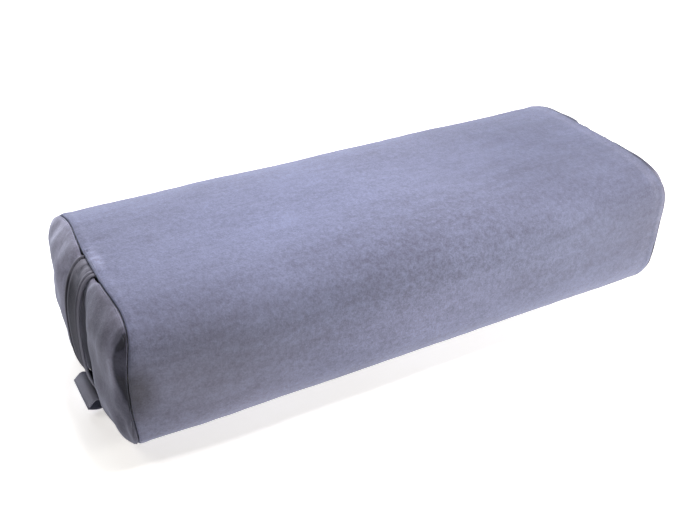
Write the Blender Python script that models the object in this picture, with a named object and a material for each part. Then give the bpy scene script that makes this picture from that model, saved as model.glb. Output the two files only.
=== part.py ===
"""Rectangular yoga bolster: a zipped faux-suede cover with two sewn handles, over a lined insert
of foam slabs wrapped in batting.

World frame, in metres: the origin lies under the middle of the bolster, +Z is up, +X runs along
the bolster away from the end that has the loop tab, and the zip is on the +Y face.
"""
import math

import bmesh
import bpy
import numpy as np
from mathutils import Vector

# Stuffed body, measured on the outside of the cover from end seam to end seam
SEAM_LENGTH = 0.614
WIDTH = 0.264
HEIGHT = 0.160
TOP_EXPONENT = 4.1
BOTTOM_EXPONENT = 3.0
PRESS_DEPTH = 0.005
PRESS_BLEND = 0.002
SIDE_DRAW_IN = 0.012
SEAM_BOW = 0.0045
DRAW_IN_POWER = 6
DRAW_IN_SHARPNESS = 8

# Suede of the cover, and the clearance kept between neighbouring pieces
CLOTH = 0.001
HEM_WIDTH = 0.010
EDGE_ROUND = 0.0008
GAP = 0.0003
SEAM_SPACE = 0.0008
ROW_STEP = 0.0005

# End panels
END_CROWN = 0.021
CROWN_POWER = 3.0
CROWN_FALL = 0.8
SHOULDER_OUT = 0.0030
SHOULDER_DEPTH = 0.0010
GROOVE_OUT = 0.0014
VALLEY_SHARE = 0.6
VALLEY_WIDTH = 0.030
VALLEY_LINE_SHARES = (-1.5, -1.1, -0.7, -0.34, 0.0, 0.34, 0.7, 1.1, 1.5)
PANEL_LINE_SHARES = (0.66, 0.85, 0.95, 1.0)
PANEL_RISE_SHARES = (0.0, 0.25, 0.42, 0.6, 0.82, 0.94, 1.0)
INNER_LINE_SHARES = (0.8, 1.0)
INNER_RISE_SHARES = (0.0, 0.5, 0.86, 1.0)
CORNER_ANGLE = math.radians(45)

# Carry handles
HANDLE_WIDTH = 0.038
HANDLE_THICKNESS = 0.0024
HANDLE_BOW = 0.0209
HANDLE_STANDOFF = 0.0023
HANDLE_TAIL = 0.008
TAIL_SPACE = 0.0007
HANDLE_EDGE = 0.0006
HANDLE_SHIFT_LEFT = -0.010
HANDLE_SHIFT_RIGHT = 0.0
HANDLE_POWER = 2.6
HANDLE_FALL = 0.6
HANDLE_STEPS = 20
TAIL_MARGIN = 0.005
TAIL_FADE = 0.012

# Loop tab in the left bottom seam
TAB_WIDTH = 0.046
TAB_SHIFT = -0.005
TAB_THICKNESS = 0.0007
TAB_REACH = 0.0280
TAB_RISE = 0.0080
TAB_TIP_HEIGHT = 0.0060
TAB_TAIL = 0.007
TAB_TAIL_SPACE = 0.0004
TAB_CLEARANCE = 0.0011
TAB_PEAK_POWER = 2.6
TAB_STEPS = 10

# Zip on the back face
ZIP_MARGIN = 0.0295
SLIT_HALF = 0.0065
SLIT_CLOSED_HALF = 0.0003
SLIT_TAPER = 0.010
ZIP_STIFF_HALF = 0.017
ZIP_STIFF_FADE = 0.043
TAPE_WIDTH = 0.013
TAPE_SPLIT = 0.001
TAPE_THICKNESS = 0.0005
TOOTH_PITCH = 0.004
TOOTH_GAP = 0.0004
TOOTH_HEIGHT = 0.002
TOOTH_OVERLAP = 0.0009
SPINE_INNER = 0.0012
SPINE_WIDTH = 0.001
STOP_LENGTH = 0.004
STOP_HEIGHT = 0.0023
STOP_WIDTH = 0.0024
STOP_CLEARANCE = 0.0005
STOP_EDGE = 0.0004

# Zip slider and its pull
SLIDER_LENGTH = 0.015
SLIDER_PLATE = 0.001
SLIDER_FLANGE = 0.001
SLIDER_RUNNING = 0.0004
SLIDER_CORNER = 0.0006
SLIDER_STATIONS = 9
PARTING_STEPS = 7
PARTING_START_SHARE = 0.25
POST_HALF_WIDTH = 0.0009
POST_LENGTH = 0.0045
POST_SETBACK = 0.001
POST_NOSE_SHARE = 0.67
POST_FRONT_SHARE = 0.5
BAIL_HALF_LENGTH = 0.0036
BAIL_WIDTH = 0.002
BAIL_THICKNESS = 0.001
BAIL_INSIDE = 0.0019
PULL_LENGTH = 0.026
PULL_WIDTH = 0.007
PULL_THICKNESS = 0.0012
PULL_EYE_LENGTH = 0.0038
PULL_EYE_WIDTH = 0.003
PULL_BAR_RADIUS = 0.00062
PULL_EDGE = 0.0002
PULL_BAR_SIDES = 12
PULL_OUTLINE_SHARES = ((0.72, 0.72), (0.91, 0.8), (1.0, 0.35))
OVERRUN = 0.002

# Insert
LINER = 0.0005
LINER_MARGIN = 0.0195
LINER_END_MARGIN = 0.0115
LINER_TURN_DEPTH = 0.0035
LINER_SLACK = 0.0016
BATTING = 0.018
BATTING_SIDE_CLEARANCE = 0.0009
CORE_MARGIN = 0.039
CORE_RADIUS = 0.025
CORE_SLABS = 3
DENT_HALF = 0.008
DENT_FADE = 0.026

# How finely the soft forms are faceted
QUARTER_STEPS = 1200
COMMON_COLUMNS = 33
COLUMN_SPREAD_SHARE = 0.34
ZIP_COLUMN_SHARE = 0.55
ROW_SHARES = (0.0, 0.55, 0.8)
CORE_ARC_STEPS = 5
SHADE_ANGLE = math.radians(40)
ROUNDING = 1e-9
SMOOTH_CENTRE = 0.5

# Places that follow from the sizes above
HALF = SEAM_LENGTH / 2
MID_HEIGHT = HEIGHT / 2
ZIP_HALF = HALF - ZIP_MARGIN
SLIT_END = ZIP_HALF + SLIT_TAPER
HEM_START = HALF - HEM_WIDTH
DOUBLE = 2 * CLOTH
RIM_DEPTH = DOUBLE + SEAM_SPACE
TAIL_ROOM = HANDLE_THICKNESS + TAIL_SPACE
TAB_ROOM = 2 * TAB_THICKNESS + TAB_TAIL_SPACE + TAB_CLEARANCE
TAPE_DEPTH = DOUBLE + GAP
TAPE_OUTER_Y = WIDTH / 2 - TAPE_DEPTH
SLIDER_UNDER = TAPE_THICKNESS + SLIDER_RUNNING
SLIDER_TOP = GAP + TOOTH_HEIGHT + SLIDER_RUNNING
PIVOT_OUT = SLIDER_TOP + SLIDER_PLATE + BAIL_INSIDE / 2
PIVOT_Y = TAPE_OUTER_Y + PIVOT_OUT
CHANNEL_HALF = SPINE_INNER + SPINE_WIDTH + GAP
SPREAD = POST_HALF_WIDTH + TOOTH_OVERLAP + SLIDER_RUNNING
SLIDER_FRONT = ZIP_HALF - STOP_LENGTH - STOP_CLEARANCE
SLIDER_X = SLIDER_FRONT - SLIDER_LENGTH / 2
LINER_DEPTH = CLOTH + GAP
DENT_DEPTH = TAPE_DEPTH + SLIDER_UNDER + SLIDER_PLATE + GAP - LINER_DEPTH
LINER_END_DEPTH = RIM_DEPTH + TAIL_ROOM + TAB_ROOM + CLOTH + GAP
ZIP_COLUMN = DENT_HALF + DENT_FADE * ZIP_COLUMN_SHARE
CORE_HALF = HALF - CORE_MARGIN
BATTING_DEPTH = LINER_DEPTH + LINER + BATTING_SIDE_CLEARANCE


def clear_scene():
    """Remove whatever the scene holds."""
    for item in list(bpy.data.objects):
        bpy.data.objects.remove(item, do_unlink=True)


def material(name, colour, roughness, metallic=0.0):
    """A Principled material with one colour."""
    made = bpy.data.materials.new(name)
    made.use_nodes = True
    shader = made.node_tree.nodes["Principled BSDF"]
    shader.inputs["Base Color"].default_value = (*colour, 1.0)
    shader.inputs["Roughness"].default_value = roughness
    shader.inputs["Metallic"].default_value = metallic
    made.diffuse_color = (*colour, 1.0)
    return made


def add_object(name, mesh, finish, parent=None):
    """Put a mesh in the scene with its material, smooth where its faces meet gently."""
    item = bpy.data.objects.new(name, mesh)
    bpy.context.scene.collection.objects.link(item)
    mesh.materials.append(finish)
    mesh.shade_smooth()
    mesh.set_sharp_from_angle(angle=SHADE_ANGLE)
    if parent is not None:
        item.parent = parent
    return item


def mesh_from(name, points, faces):
    """A mesh from an array of points and lists of corners."""
    mesh = bpy.data.meshes.new(name)
    mesh.from_pydata([tuple(p) for p in points], [], faces)
    mesh.update()
    return mesh


def smooth_step(value):
    """Rise from 0 to 1 with level ends."""
    share = np.clip(value, 0.0, 1.0)
    return share * share * (3.0 - 2.0 * share)


def rounded(angle, half_width, half_height, exponent):
    """A point of a superellipse, as its two coordinates."""
    c, s = np.cos(angle), np.sin(angle)
    across = half_width * np.sign(c) * np.abs(c) ** (2 / exponent)
    up = half_height * np.sign(s) * np.abs(s) ** (2 / exponent)
    return across, up


def pressed_flat(height):
    """Level at 0 wherever the round underside would reach below the floor."""
    blend = (height + PRESS_BLEND) ** 2 / (4 * PRESS_BLEND)
    return np.where(height > PRESS_BLEND, height, np.where(height < -PRESS_BLEND, 0.0, blend))


def base_outline():
    """The fine closed section at mid-length, from the zip line up, over the top and round."""
    quarter = smooth_step(np.arange(QUARTER_STEPS) / QUARTER_STEPS) * math.pi / 2
    angle = np.concatenate([quarter + turn * math.pi / 2 for turn in range(4)])
    upper = np.arange(4 * QUARTER_STEPS) < 2 * QUARTER_STEPS
    top_y, top_z = rounded(angle, WIDTH / 2, MID_HEIGHT, TOP_EXPONENT)
    low_y, low_z = rounded(angle, WIDTH / 2, MID_HEIGHT + PRESS_DEPTH, BOTTOM_EXPONENT)
    y = np.where(upper, top_y, low_y)
    z = MID_HEIGHT + np.where(upper, top_z, low_z)
    return angle, y, pressed_flat(z)


ANGLE, BASE_Y, BASE_Z = base_outline()
COUNT = len(ANGLE)


def side_share():
    """How much each point of the outline belongs to the middle of the front or the back face."""
    across = np.abs(BASE_Y) / (WIDTH / 2)
    up = (BASE_Z - MID_HEIGHT) / MID_HEIGHT
    share = np.clip(across ** DRAW_IN_SHARPNESS * (1 - up * up), 0.0, 1.0)
    from_zip = (np.abs(BASE_Z - MID_HEIGHT) - ZIP_STIFF_HALF) / ZIP_STIFF_FADE
    return np.where(BASE_Y > 0, share * smooth_step(from_zip), share)


SIDE = side_share()


def end_share(x):
    """0 along the middle of the bolster and 1 at its end seams."""
    return min(1.0, abs(x / HALF)) ** DRAW_IN_POWER


def outline(x):
    """The fine section at x, drawn in towards the ends, with its outward normals."""
    y = BASE_Y - np.sign(BASE_Y) * SIDE_DRAW_IN * end_share(x) * SIDE
    ahead = np.roll(y, -1) - np.roll(y, 1), np.roll(BASE_Z, -1) - np.roll(BASE_Z, 1)
    length = np.hypot(*ahead)
    return y, BASE_Z, ahead[1] / length, -ahead[0] / length


def sample(values, index):
    """Read a closed row of values at fractional places."""
    places = np.mod(np.asarray(index, dtype=float), COUNT)
    low = np.floor(places).astype(int) % COUNT
    part = places - np.floor(places)
    return values[low] * (1 - part) + values[(low + 1) % COUNT] * part


def on_body(x, index, depth, bow=True):
    """Points under the outside of the cover: fractional outline places, at a depth inwards."""
    y, z, normal_y, normal_z = outline(x)
    shift = math.copysign(SEAM_BOW * end_share(x), x) * sample(SIDE, index) if bow else 0.0
    return np.stack([
        x + shift + np.zeros(len(index)),
        sample(y, index) - depth * sample(normal_y, index),
        sample(z, index) - depth * sample(normal_z, index),
    ], axis=1)


def above_zip(rise):
    """Outline place at a height above the zip line on the back face."""
    return np.interp(rise, BASE_Z[:QUARTER_STEPS] - MID_HEIGHT, np.arange(QUARTER_STEPS))


def below_zip(drop):
    """Outline place at a height below the zip line on the back face."""
    order = np.arange(COUNT - 1, 3 * QUARTER_STEPS, -1)
    return np.interp(drop, MID_HEIGHT - BASE_Z[order], order)


def common_columns():
    """Places round the body away from the zip, closer together where the section turns."""
    first, last = above_zip(DENT_HALF + DENT_FADE), below_zip(DENT_HALF + DENT_FADE)
    places = np.linspace(first, last, COUNT)
    y, z = sample(BASE_Y, places), sample(BASE_Z, places)
    step_y, step_z = np.diff(y), np.diff(z)
    turning = np.abs(np.diff(np.unwrap(np.arctan2(step_z, step_y)), prepend=0.0))
    turning[0] = 0.0
    steps = np.hypot(step_y, step_z)
    measure = np.cumsum(np.sqrt(steps * turning) + COLUMN_SPREAD_SHARE * steps)
    measure = np.concatenate([[0.0], measure])
    return np.interp(np.linspace(0.0, measure[-1], COMMON_COLUMNS), measure, places)


COMMON = common_columns()


def shell(name, outer, inner, closed):
    """A solid between two grids of points: rows along X, columns round the section."""
    rows, columns = outer.shape[:2]
    points = np.concatenate([outer.reshape(-1, 3), inner.reshape(-1, 3)])
    under = rows * columns
    wraps = columns if closed else columns - 1
    faces = []
    for row in range(rows - 1):
        for column in range(wraps):
            a, b = row * columns + column, row * columns + (column + 1) % columns
            c, d = b + columns, a + columns
            faces.append((a, b, c, d))
            faces.append((under + a, under + d, under + c, under + b))
    for column in range(wraps):
        a, b = column, (column + 1) % columns
        faces.append((b, a, under + a, under + b))
        a, b = a + (rows - 1) * columns, b + (rows - 1) * columns
        faces.append((a, b, under + b, under + a))
    for row in range(0 if closed else rows - 1):
        a, d = row * columns, (row + 1) * columns
        faces.append((a, d, under + d, under + a))
        b, c = a + columns - 1, d + columns - 1
        faces.append((c, b, under + b, under + c))
    return mesh_from(name, points, faces)


def mirrored_rows(half_rows):
    """Rows from the far end to the near end, out of the rows of one half."""
    return [-x for x in reversed(half_rows[1:])] + list(half_rows)


def body_rows():
    """Rows that all the long soft pieces share, from mid-length to the end of the zip."""
    return [share * HALF for share in ROW_SHARES] + [ZIP_HALF]


def slit_half(x):
    """Half the width of the slit in the wrap: open along the zip and sewn shut past it."""
    share = float(smooth_step((abs(x) - ZIP_HALF) / SLIT_TAPER))
    return SLIT_HALF + (SLIT_CLOSED_HALF - SLIT_HALF) * share


def cover_wrap(finish):
    """The suede wrap: a sleeve with a slit for the zip and hems folded to double thickness."""
    shared = body_rows()
    outer_rows = mirrored_rows(shared + [SLIT_END, HEM_START, HALF - EDGE_ROUND, HALF])
    inner_rows = mirrored_rows(shared + [SLIT_END, HEM_START - ROW_STEP, HEM_START, HALF])
    outer, inner = [], []
    for out_x, in_x in zip(outer_rows, inner_rows):
        edge = slit_half(out_x)
        near = [edge, edge + EDGE_ROUND, edge + HEM_WIDTH, ZIP_COLUMN]
        places = [above_zip(h) for h in near] + list(COMMON) + [below_zip(h) for h in near[::-1]]
        depth = np.zeros(len(places))
        depth[[0, -1]] = EDGE_ROUND
        if abs(out_x) == HALF:
            depth[:] = EDGE_ROUND
        outer.append(on_body(out_x, np.array(places), depth))
        near = [edge, edge + HEM_WIDTH, edge + HEM_WIDTH + ROW_STEP, ZIP_COLUMN]
        places = [above_zip(h) for h in near] + list(COMMON) + [below_zip(h) for h in near[::-1]]
        depth = np.full(len(places), CLOTH)
        depth[[0, 1, -2, -1]] = DOUBLE
        if abs(in_x) >= HEM_START:
            depth[:] = DOUBLE
        inner.append(on_body(in_x, np.array(places), depth))
    mesh = shell("cover_wrap", np.array(outer), np.array(inner), closed=False)
    return add_object("cover_wrap", mesh, finish)


def perimeter_place(across, up):
    """Outline place of a point on the rim of the square that maps onto an end panel."""
    corner = [np.interp(CORNER_ANGLE + turn * math.pi / 2, ANGLE, np.arange(COUNT)) for turn in range(4)]
    corner_y = sample(BASE_Y, corner)
    corner_z = sample(BASE_Z, corner)
    if up == 1:
        order = np.arange(math.floor(corner[1]), math.floor(corner[0]) - 1, -1)
        return np.interp(across * corner_y[0], BASE_Y[order], order)
    if up == -1:
        order = np.arange(math.floor(corner[2]), math.floor(corner[3]) + 2)
        return np.interp(across * corner_y[3], BASE_Y[order], order)
    height = corner_z[3] + (up + 1) / 2 * (corner_z[0] - corner_z[3])
    if across == -1:
        order = np.arange(math.floor(corner[2]) + 1, math.floor(corner[1]) - 1, -1)
        return np.interp(height, BASE_Z[order], order)
    return above_zip(height - MID_HEIGHT) if height > MID_HEIGHT else below_zip(MID_HEIGHT - height)


def panel_lines(shift, line_shares, rise_shares):
    """Grid lines of an end panel, across and up, as shares of the mapped square."""
    corner_y = sample(BASE_Y, [np.interp(CORNER_ANGLE, ANGLE, np.arange(COUNT))])[0]
    valley = [(shift + share * VALLEY_WIDTH) / corner_y for share in VALLEY_LINE_SHARES]
    across = [-share for share in reversed(line_shares)] + valley + list(line_shares)
    up = [-share for share in reversed(rise_shares[1:])] + list(rise_shares)
    return across, up


class Dome:
    """A crowned end, mapped from a square onto the rounded section with a valley down its middle."""

    def __init__(self, shift, seam_x, depth, crown_base, lines):
        self.shift, self.seam_x, self.depth, self.crown_base = shift, seam_x, depth, crown_base
        self.across, self.up = panel_lines(shift, *lines)

    def rim(self):
        """Grid places of the rim, in order round the section, starting on the +Y side."""
        last_a, last_u = len(self.across) - 1, len(self.up) - 1
        middle = last_u // 2
        order = [(last_a, u) for u in range(middle, last_u + 1)]
        order += [(a, last_u) for a in range(last_a - 1, -1, -1)]
        order += [(0, u) for u in range(last_u - 1, -1, -1)]
        order += [(a, 0) for a in range(1, last_a + 1)]
        return order + [(last_a, u) for u in range(1, middle)]

    def rim_places(self):
        """Outline places of the rim's points."""
        level_rows = (0, len(self.up) - 1)
        places = []
        for a, u in self.rim():
            across = self.across[a]
            if u in level_rows:
                places.append(perimeter_place(across, 1 if u else -1))
            else:
                places.append(perimeter_place(math.copysign(1, across), self.up[u]))
        return np.array(places)

    def height_at(self, y, share):
        """How far the dome stands out of its rim, at a place across and a share of the radius."""
        valley = 1 - VALLEY_SHARE * math.exp(-((y - self.shift) / VALLEY_WIDTH) ** 2)
        return (1 - share ** CROWN_POWER) ** CROWN_FALL * (self.crown_base + END_CROWN * valley)

    def grid(self):
        """All points of the dome, by line across and line up, on the +X end."""
        rows = []
        for across in self.across:
            for up in self.up:
                share = max(abs(across), abs(up))
                if share == 0:
                    rows.append((self.seam_x + self.height_at(0.0, 0.0), 0.0, MID_HEIGHT))
                    continue
                a, u = across / share, up / share
                place = perimeter_place(a, u)
                depth = self.depth(place)
                rim = on_body(HALF, np.array([place]), depth, bow=False)[0]
                bow = SEAM_BOW * sample(SIDE, [place])[0] * share ** DRAW_IN_POWER
                y = share * rim[1]
                z = MID_HEIGHT + share * (rim[2] - MID_HEIGHT)
                rows.append((self.seam_x + bow + self.height_at(y, share), y, z))
        return np.array(rows).reshape(len(self.across), len(self.up), 3)


def seam_depth(place, base, shift, tab):
    """Depth of an end panel near its seam, which sinks where handle and tab tails pass through."""
    y, z = sample(BASE_Y, [place])[0], sample(BASE_Z, [place])[0]
    if abs(z - MID_HEIGHT) < MID_HEIGHT / 2:
        return base
    with_tab = tab and z < MID_HEIGHT
    centre = TAB_SHIFT if with_tab else shift
    half = (TAB_WIDTH if with_tab else HANDLE_WIDTH) / 2 + TAIL_MARGIN
    near = 1 - float(smooth_step((abs(y - centre) - half) / TAIL_FADE))
    sunk = RIM_DEPTH + TAIL_ROOM + (TAB_ROOM if with_tab else 0.0)
    return base + near * (sunk - base)


def mirror_to(side, points):
    """Points of the +X end, carried to the end on the given side."""
    return points * np.array([side, 1, 1])


def cover_end(name, side, shift, tab, finish):
    """An end panel: a rim turned into the seam and a face that bulges in two lobes."""
    dome = Dome(shift, HALF + SHOULDER_OUT, lambda p: seam_depth(p, SHOULDER_DEPTH, shift, tab),
                0.0, (PANEL_LINE_SHARES, PANEL_RISE_SHARES))
    grid = dome.grid()
    rim, places = dome.rim(), dome.rim_places()
    columns = len(rim)
    points = list(grid.reshape(-1, 3))
    index = {(a, u): a * len(dome.up) + u for a in range(len(dome.across)) for u in range(len(dome.up))}
    previous = [index[key] for key in rim]
    faces = []
    for a in range(len(dome.across) - 1):
        for u in range(len(dome.up) - 1):
            faces.append((index[a, u], index[a + 1, u], index[a + 1, u + 1], index[a, u + 1]))
    middle_depth = (RIM_DEPTH + SHOULDER_DEPTH) / 2
    for out, depth in ((GROOVE_OUT, middle_depth), (-GAP, RIM_DEPTH), (-HEM_WIDTH, RIM_DEPTH)):
        ring = on_body(HALF, places, np.array([seam_depth(p, depth, shift, tab) for p in places]))
        ring[:, 0] += out
        first = len(points)
        points.extend(ring)
        for c in range(columns):
            n = (c + 1) % columns
            faces.append((previous[c], first + c, first + n, previous[n]))
        previous = list(range(first, first + columns))
    if side < 0:
        faces = [face[::-1] for face in faces]
    mesh = mesh_from(name, mirror_to(side, np.array(points)), faces)
    panel = add_object(name, mesh, finish)
    wall = panel.modifiers.new("cloth", "SOLIDIFY")
    wall.thickness = CLOTH
    wall.offset = -1
    wall.use_even_offset = False
    return panel


def sweep(name, path, normals, profile, shift, side, finish):
    """A strip: a cross-section of (across, out) points carried along a path in X and Z."""
    across = np.array([p[0] for p in profile])
    out = np.array([p[1] for p in profile])
    rings = []
    for (x, z), (normal_x, normal_z) in zip(path, normals):
        rings.append(np.stack([x + out * normal_x, shift + across, z + out * normal_z], axis=1))
    count = len(profile)
    points = mirror_to(side, np.concatenate(rings))
    faces = []
    for ring in range(len(rings) - 1):
        for p in range(count):
            a, b = ring * count + p, ring * count + (p + 1) % count
            faces.append((a, b, b + count, a + count))
    faces.append(tuple(reversed(range(count))))
    faces.append(tuple(range((len(rings) - 1) * count, len(rings) * count)))
    if side < 0:
        faces = [face[::-1] for face in faces]
    return add_object(name, mesh_from(name, points, faces), finish)


def path_normals(path):
    """Unit normals to the left of a path in X and Z."""
    steps = np.gradient(path, axis=0)
    steps /= np.hypot(steps[:, 0], steps[:, 1])[:, None]
    return np.stack([-steps[:, 1], steps[:, 0]], axis=1)


def handle_heights(tab):
    """Heights of the middle of the strap where it leaves the top and the bottom seam."""
    top = HEIGHT - RIM_DEPTH - HANDLE_THICKNESS / 2
    bottom = RIM_DEPTH + HANDLE_THICKNESS / 2 + (TAB_ROOM if tab else 0.0)
    return top, bottom


def handle_path(tab):
    """The strap's path: out of the top seam, bowed over the end panel, into the bottom seam."""
    top, bottom = handle_heights(tab)
    middle, half = (top + bottom) / 2, (top - bottom) / 2
    angle = np.linspace(math.pi / 2, -math.pi / 2, HANDLE_STEPS + 1)
    rise = np.sign(np.sin(angle)) * np.abs(np.sin(angle)) ** (2 / HANDLE_POWER)
    out = np.clip(np.cos(angle), 0.0, 1.0) ** (2 * HANDLE_FALL)
    start = HALF + HANDLE_STANDOFF
    bow = np.stack([start + HANDLE_BOW * out, middle + half * rise], axis=1)
    tail_x = HALF - HANDLE_TAIL
    return np.concatenate([[(tail_x, top)], bow, [(tail_x, bottom)]])


def handle(name, side, shift, tab, finish):
    """A carry handle: a flat folded strap with softened edges."""
    path = handle_path(tab)
    half, thick, edge = HANDLE_WIDTH / 2, HANDLE_THICKNESS / 2, HANDLE_EDGE
    profile = [(-half, -thick + edge), (-half + edge, -thick), (half - edge, -thick), (half, -thick + edge),
               (half, thick - edge), (half - edge, thick), (-half + edge, thick), (-half, thick - edge)]
    return sweep(name, path, path_normals(path), profile, shift, side, finish)


def tab_path():
    """The tab's path: out of the seam over an arch, round its folded tip and back underneath."""
    low = DOUBLE + GAP + TAB_THICKNESS / 2
    high = low + TAB_THICKNESS + TAB_TAIL_SPACE
    share = np.linspace(0.0, 1.0, TAB_STEPS + 1)
    arch = np.sin(math.pi * share ** TAB_PEAK_POWER)
    upper = high + (TAB_TIP_HEIGHT - high) * share + TAB_RISE * arch
    upper = np.stack([HALF + TAB_REACH * share, upper], axis=1)[:-1]
    turn = TAB_TIP_HEIGHT - TAB_THICKNESS
    lower = low + (turn - low) * share ** 2
    lower = np.stack([HALF + TAB_REACH * share, lower], axis=1)[::-1]
    tip = [(HALF + TAB_REACH, TAB_TIP_HEIGHT + TAB_THICKNESS / 2)]
    tail_x = HALF - TAB_TAIL
    return np.concatenate([[(tail_x, high)], upper, tip, lower, [(tail_x, low)]])


def seam_tab(finish):
    """The bare loop tab in the bottom seam, under the handle."""
    path = tab_path()
    half, thick = TAB_WIDTH / 2, TAB_THICKNESS / 2
    profile = [(-half, -thick), (half, -thick), (half, thick), (-half, thick)]
    return sweep("seam_tab", path, path_normals(path), profile, TAB_SHIFT, -1, finish)


def zip_tape(name, up, finish):
    """One half of the zip tape, sewn behind the wrap's hem. up is 1 above the zip, -1 below."""
    rows = mirrored_rows([0.0, ZIP_HALF, HEM_START - GAP])
    heights = [TAPE_SPLIT, (TAPE_SPLIT + TAPE_WIDTH) / 2, TAPE_SPLIT + TAPE_WIDTH]
    place = above_zip if up > 0 else below_zip
    places = np.array([place(h) for h in (heights if up > 0 else heights[::-1])])
    outer = np.array([on_body(x, places, TAPE_DEPTH) for x in rows])
    inner = np.array([on_body(x, places, TAPE_DEPTH + TAPE_THICKNESS) for x in rows])
    return add_object(name, shell(name, outer, inner, closed=False), finish)


def row_spread(x):
    """How far a row of teeth has left the closed zip, inside the slider's mouth."""
    length = SLIDER_LENGTH * (1 - 2 * PARTING_START_SHARE)
    return SPREAD * smooth_step((np.asarray(x) - SLIDER_X) / length + SMOOTH_CENTRE)


def prism(name, loop, out_low, out_high, finish, parent=None, pivot=(0.0, 0.0, 0.0)):
    """An outline in X and Z carried outwards along Y, measured from the zip tape."""
    bm = bmesh.new()
    base_y = TAPE_OUTER_Y - pivot[1]
    corners = [bm.verts.new((x - pivot[0], base_y + out_low, z - pivot[2])) for x, z in loop]
    face = bm.faces.new(corners)
    grown = bmesh.ops.extrude_face_region(bm, geom=[face])
    moved = [v for v in grown["geom"] if isinstance(v, bmesh.types.BMVert)]
    bmesh.ops.translate(bm, verts=moved, vec=Vector((0.0, out_high - out_low, 0.0)))
    bmesh.ops.recalc_face_normals(bm, faces=bm.faces)
    mesh = bpy.data.meshes.new(name)
    bm.to_mesh(mesh)
    bm.free()
    return add_object(name, mesh, finish, parent)


def tooth_row(name, up, finish):
    """One row of moulded teeth on its spine, interlocked with the other row while shut."""
    first = -ZIP_HALF + STOP_LENGTH + STOP_CLEARANCE
    last = ZIP_HALF - STOP_LENGTH - STOP_CLEARANCE
    width = TOOTH_PITCH / 2 - TOOTH_GAP
    offset = 0.0 if up > 0 else TOOTH_PITCH / 2
    teeth = int((last - first - offset - width) // TOOTH_PITCH) + 1
    lefts = first + offset + TOOTH_PITCH * np.arange(teeth)
    inner = [(first, SPINE_INNER)] if offset else []
    for left in lefts:
        right = left + width
        inner += [(left, SPINE_INNER), (left, -TOOTH_OVERLAP), (right, -TOOTH_OVERLAP), (right, SPINE_INNER)]
    inner.append((last, SPINE_INNER))
    parting = np.linspace(last, SLIDER_X - SLIDER_LENGTH * PARTING_START_SHARE, PARTING_STEPS)
    outer = [(x, SPINE_INNER + SPINE_WIDTH) for x in (*parting, first)]
    loop = [(x, MID_HEIGHT + up * (v + float(row_spread(x)))) for x, v in inner + outer]
    return prism(name, loop, GAP, GAP + TOOTH_HEIGHT, finish)


def block_loop(low_x, high_x, low_z, high_z):
    """The corners of a block's face in X and Z."""
    return [(low_x, low_z), (high_x, low_z), (high_x, high_z), (low_x, high_z)]


def top_stop(name, up, finish):
    """The stop at the shut end of one row of teeth."""
    inner = SPREAD + SPINE_INNER
    low_z, high_z = sorted(MID_HEIGHT + up * v for v in (inner, inner + STOP_WIDTH))
    loop = block_loop(ZIP_HALF - STOP_LENGTH, ZIP_HALF, low_z, high_z)
    soften(prism(name, loop, GAP, GAP + STOP_HEIGHT, finish), STOP_EDGE)


def soften(item, width):
    """Round an object's sharp edges a little."""
    bevel = item.modifiers.new("soft edges", "BEVEL")
    bevel.width = width
    bevel.segments = 1
    bevel.limit_method = "ANGLE"
    bevel.angle_limit = SHADE_ANGLE


def bottom_stop(finish):
    """The stop that ties both rows at the end where the zip opens."""
    half = SPINE_INNER + SPINE_WIDTH
    loop = block_loop(-ZIP_HALF, STOP_LENGTH - ZIP_HALF, MID_HEIGHT - half, MID_HEIGHT + half)
    soften(prism("zip_bottom_stop", loop, GAP, GAP + STOP_HEIGHT, finish), STOP_EDGE)


def guide(item):
    """Mark an object as a cutter or a form that only shapes another."""
    item.hide_render = True
    item.display_type = "WIRE"
    return item


def combine(item, other, operation):
    """Join or cut an object with a hidden one."""
    step = item.modifiers.new(operation.lower(), "BOOLEAN")
    step.operation = operation
    step.solver = "EXACT"
    step.object = guide(other)


def slider_outline(wider, past):
    """The outline of the slider's channel, made wider and carried past both ends."""
    half = SLIDER_LENGTH / 2
    places = SLIDER_X + np.linspace(-half, half, SLIDER_STATIONS)
    ends = (SLIDER_X - half - past, *places, SLIDER_X + half + past) if past else places
    rises = [CHANNEL_HALF + wider + float(row_spread(x)) for x in ends]
    upper = [(x, MID_HEIGHT + rise) for x, rise in zip(ends, rises)]
    lower = [(x, MID_HEIGHT - rise) for x, rise in zip(ends, rises)]
    return lower + upper[::-1]


def post_outline():
    """The wedge between the slider's two mouths."""
    front = SLIDER_FRONT - POST_SETBACK
    back = front - POST_LENGTH
    wide = back + POST_LENGTH * POST_NOSE_SHARE
    blunt = POST_HALF_WIDTH * POST_FRONT_SHARE
    return [(back, MID_HEIGHT), (wide, MID_HEIGHT - POST_HALF_WIDTH), (front, MID_HEIGHT - blunt),
            (front, MID_HEIGHT + blunt), (wide, MID_HEIGHT + POST_HALF_WIDTH)]


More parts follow.
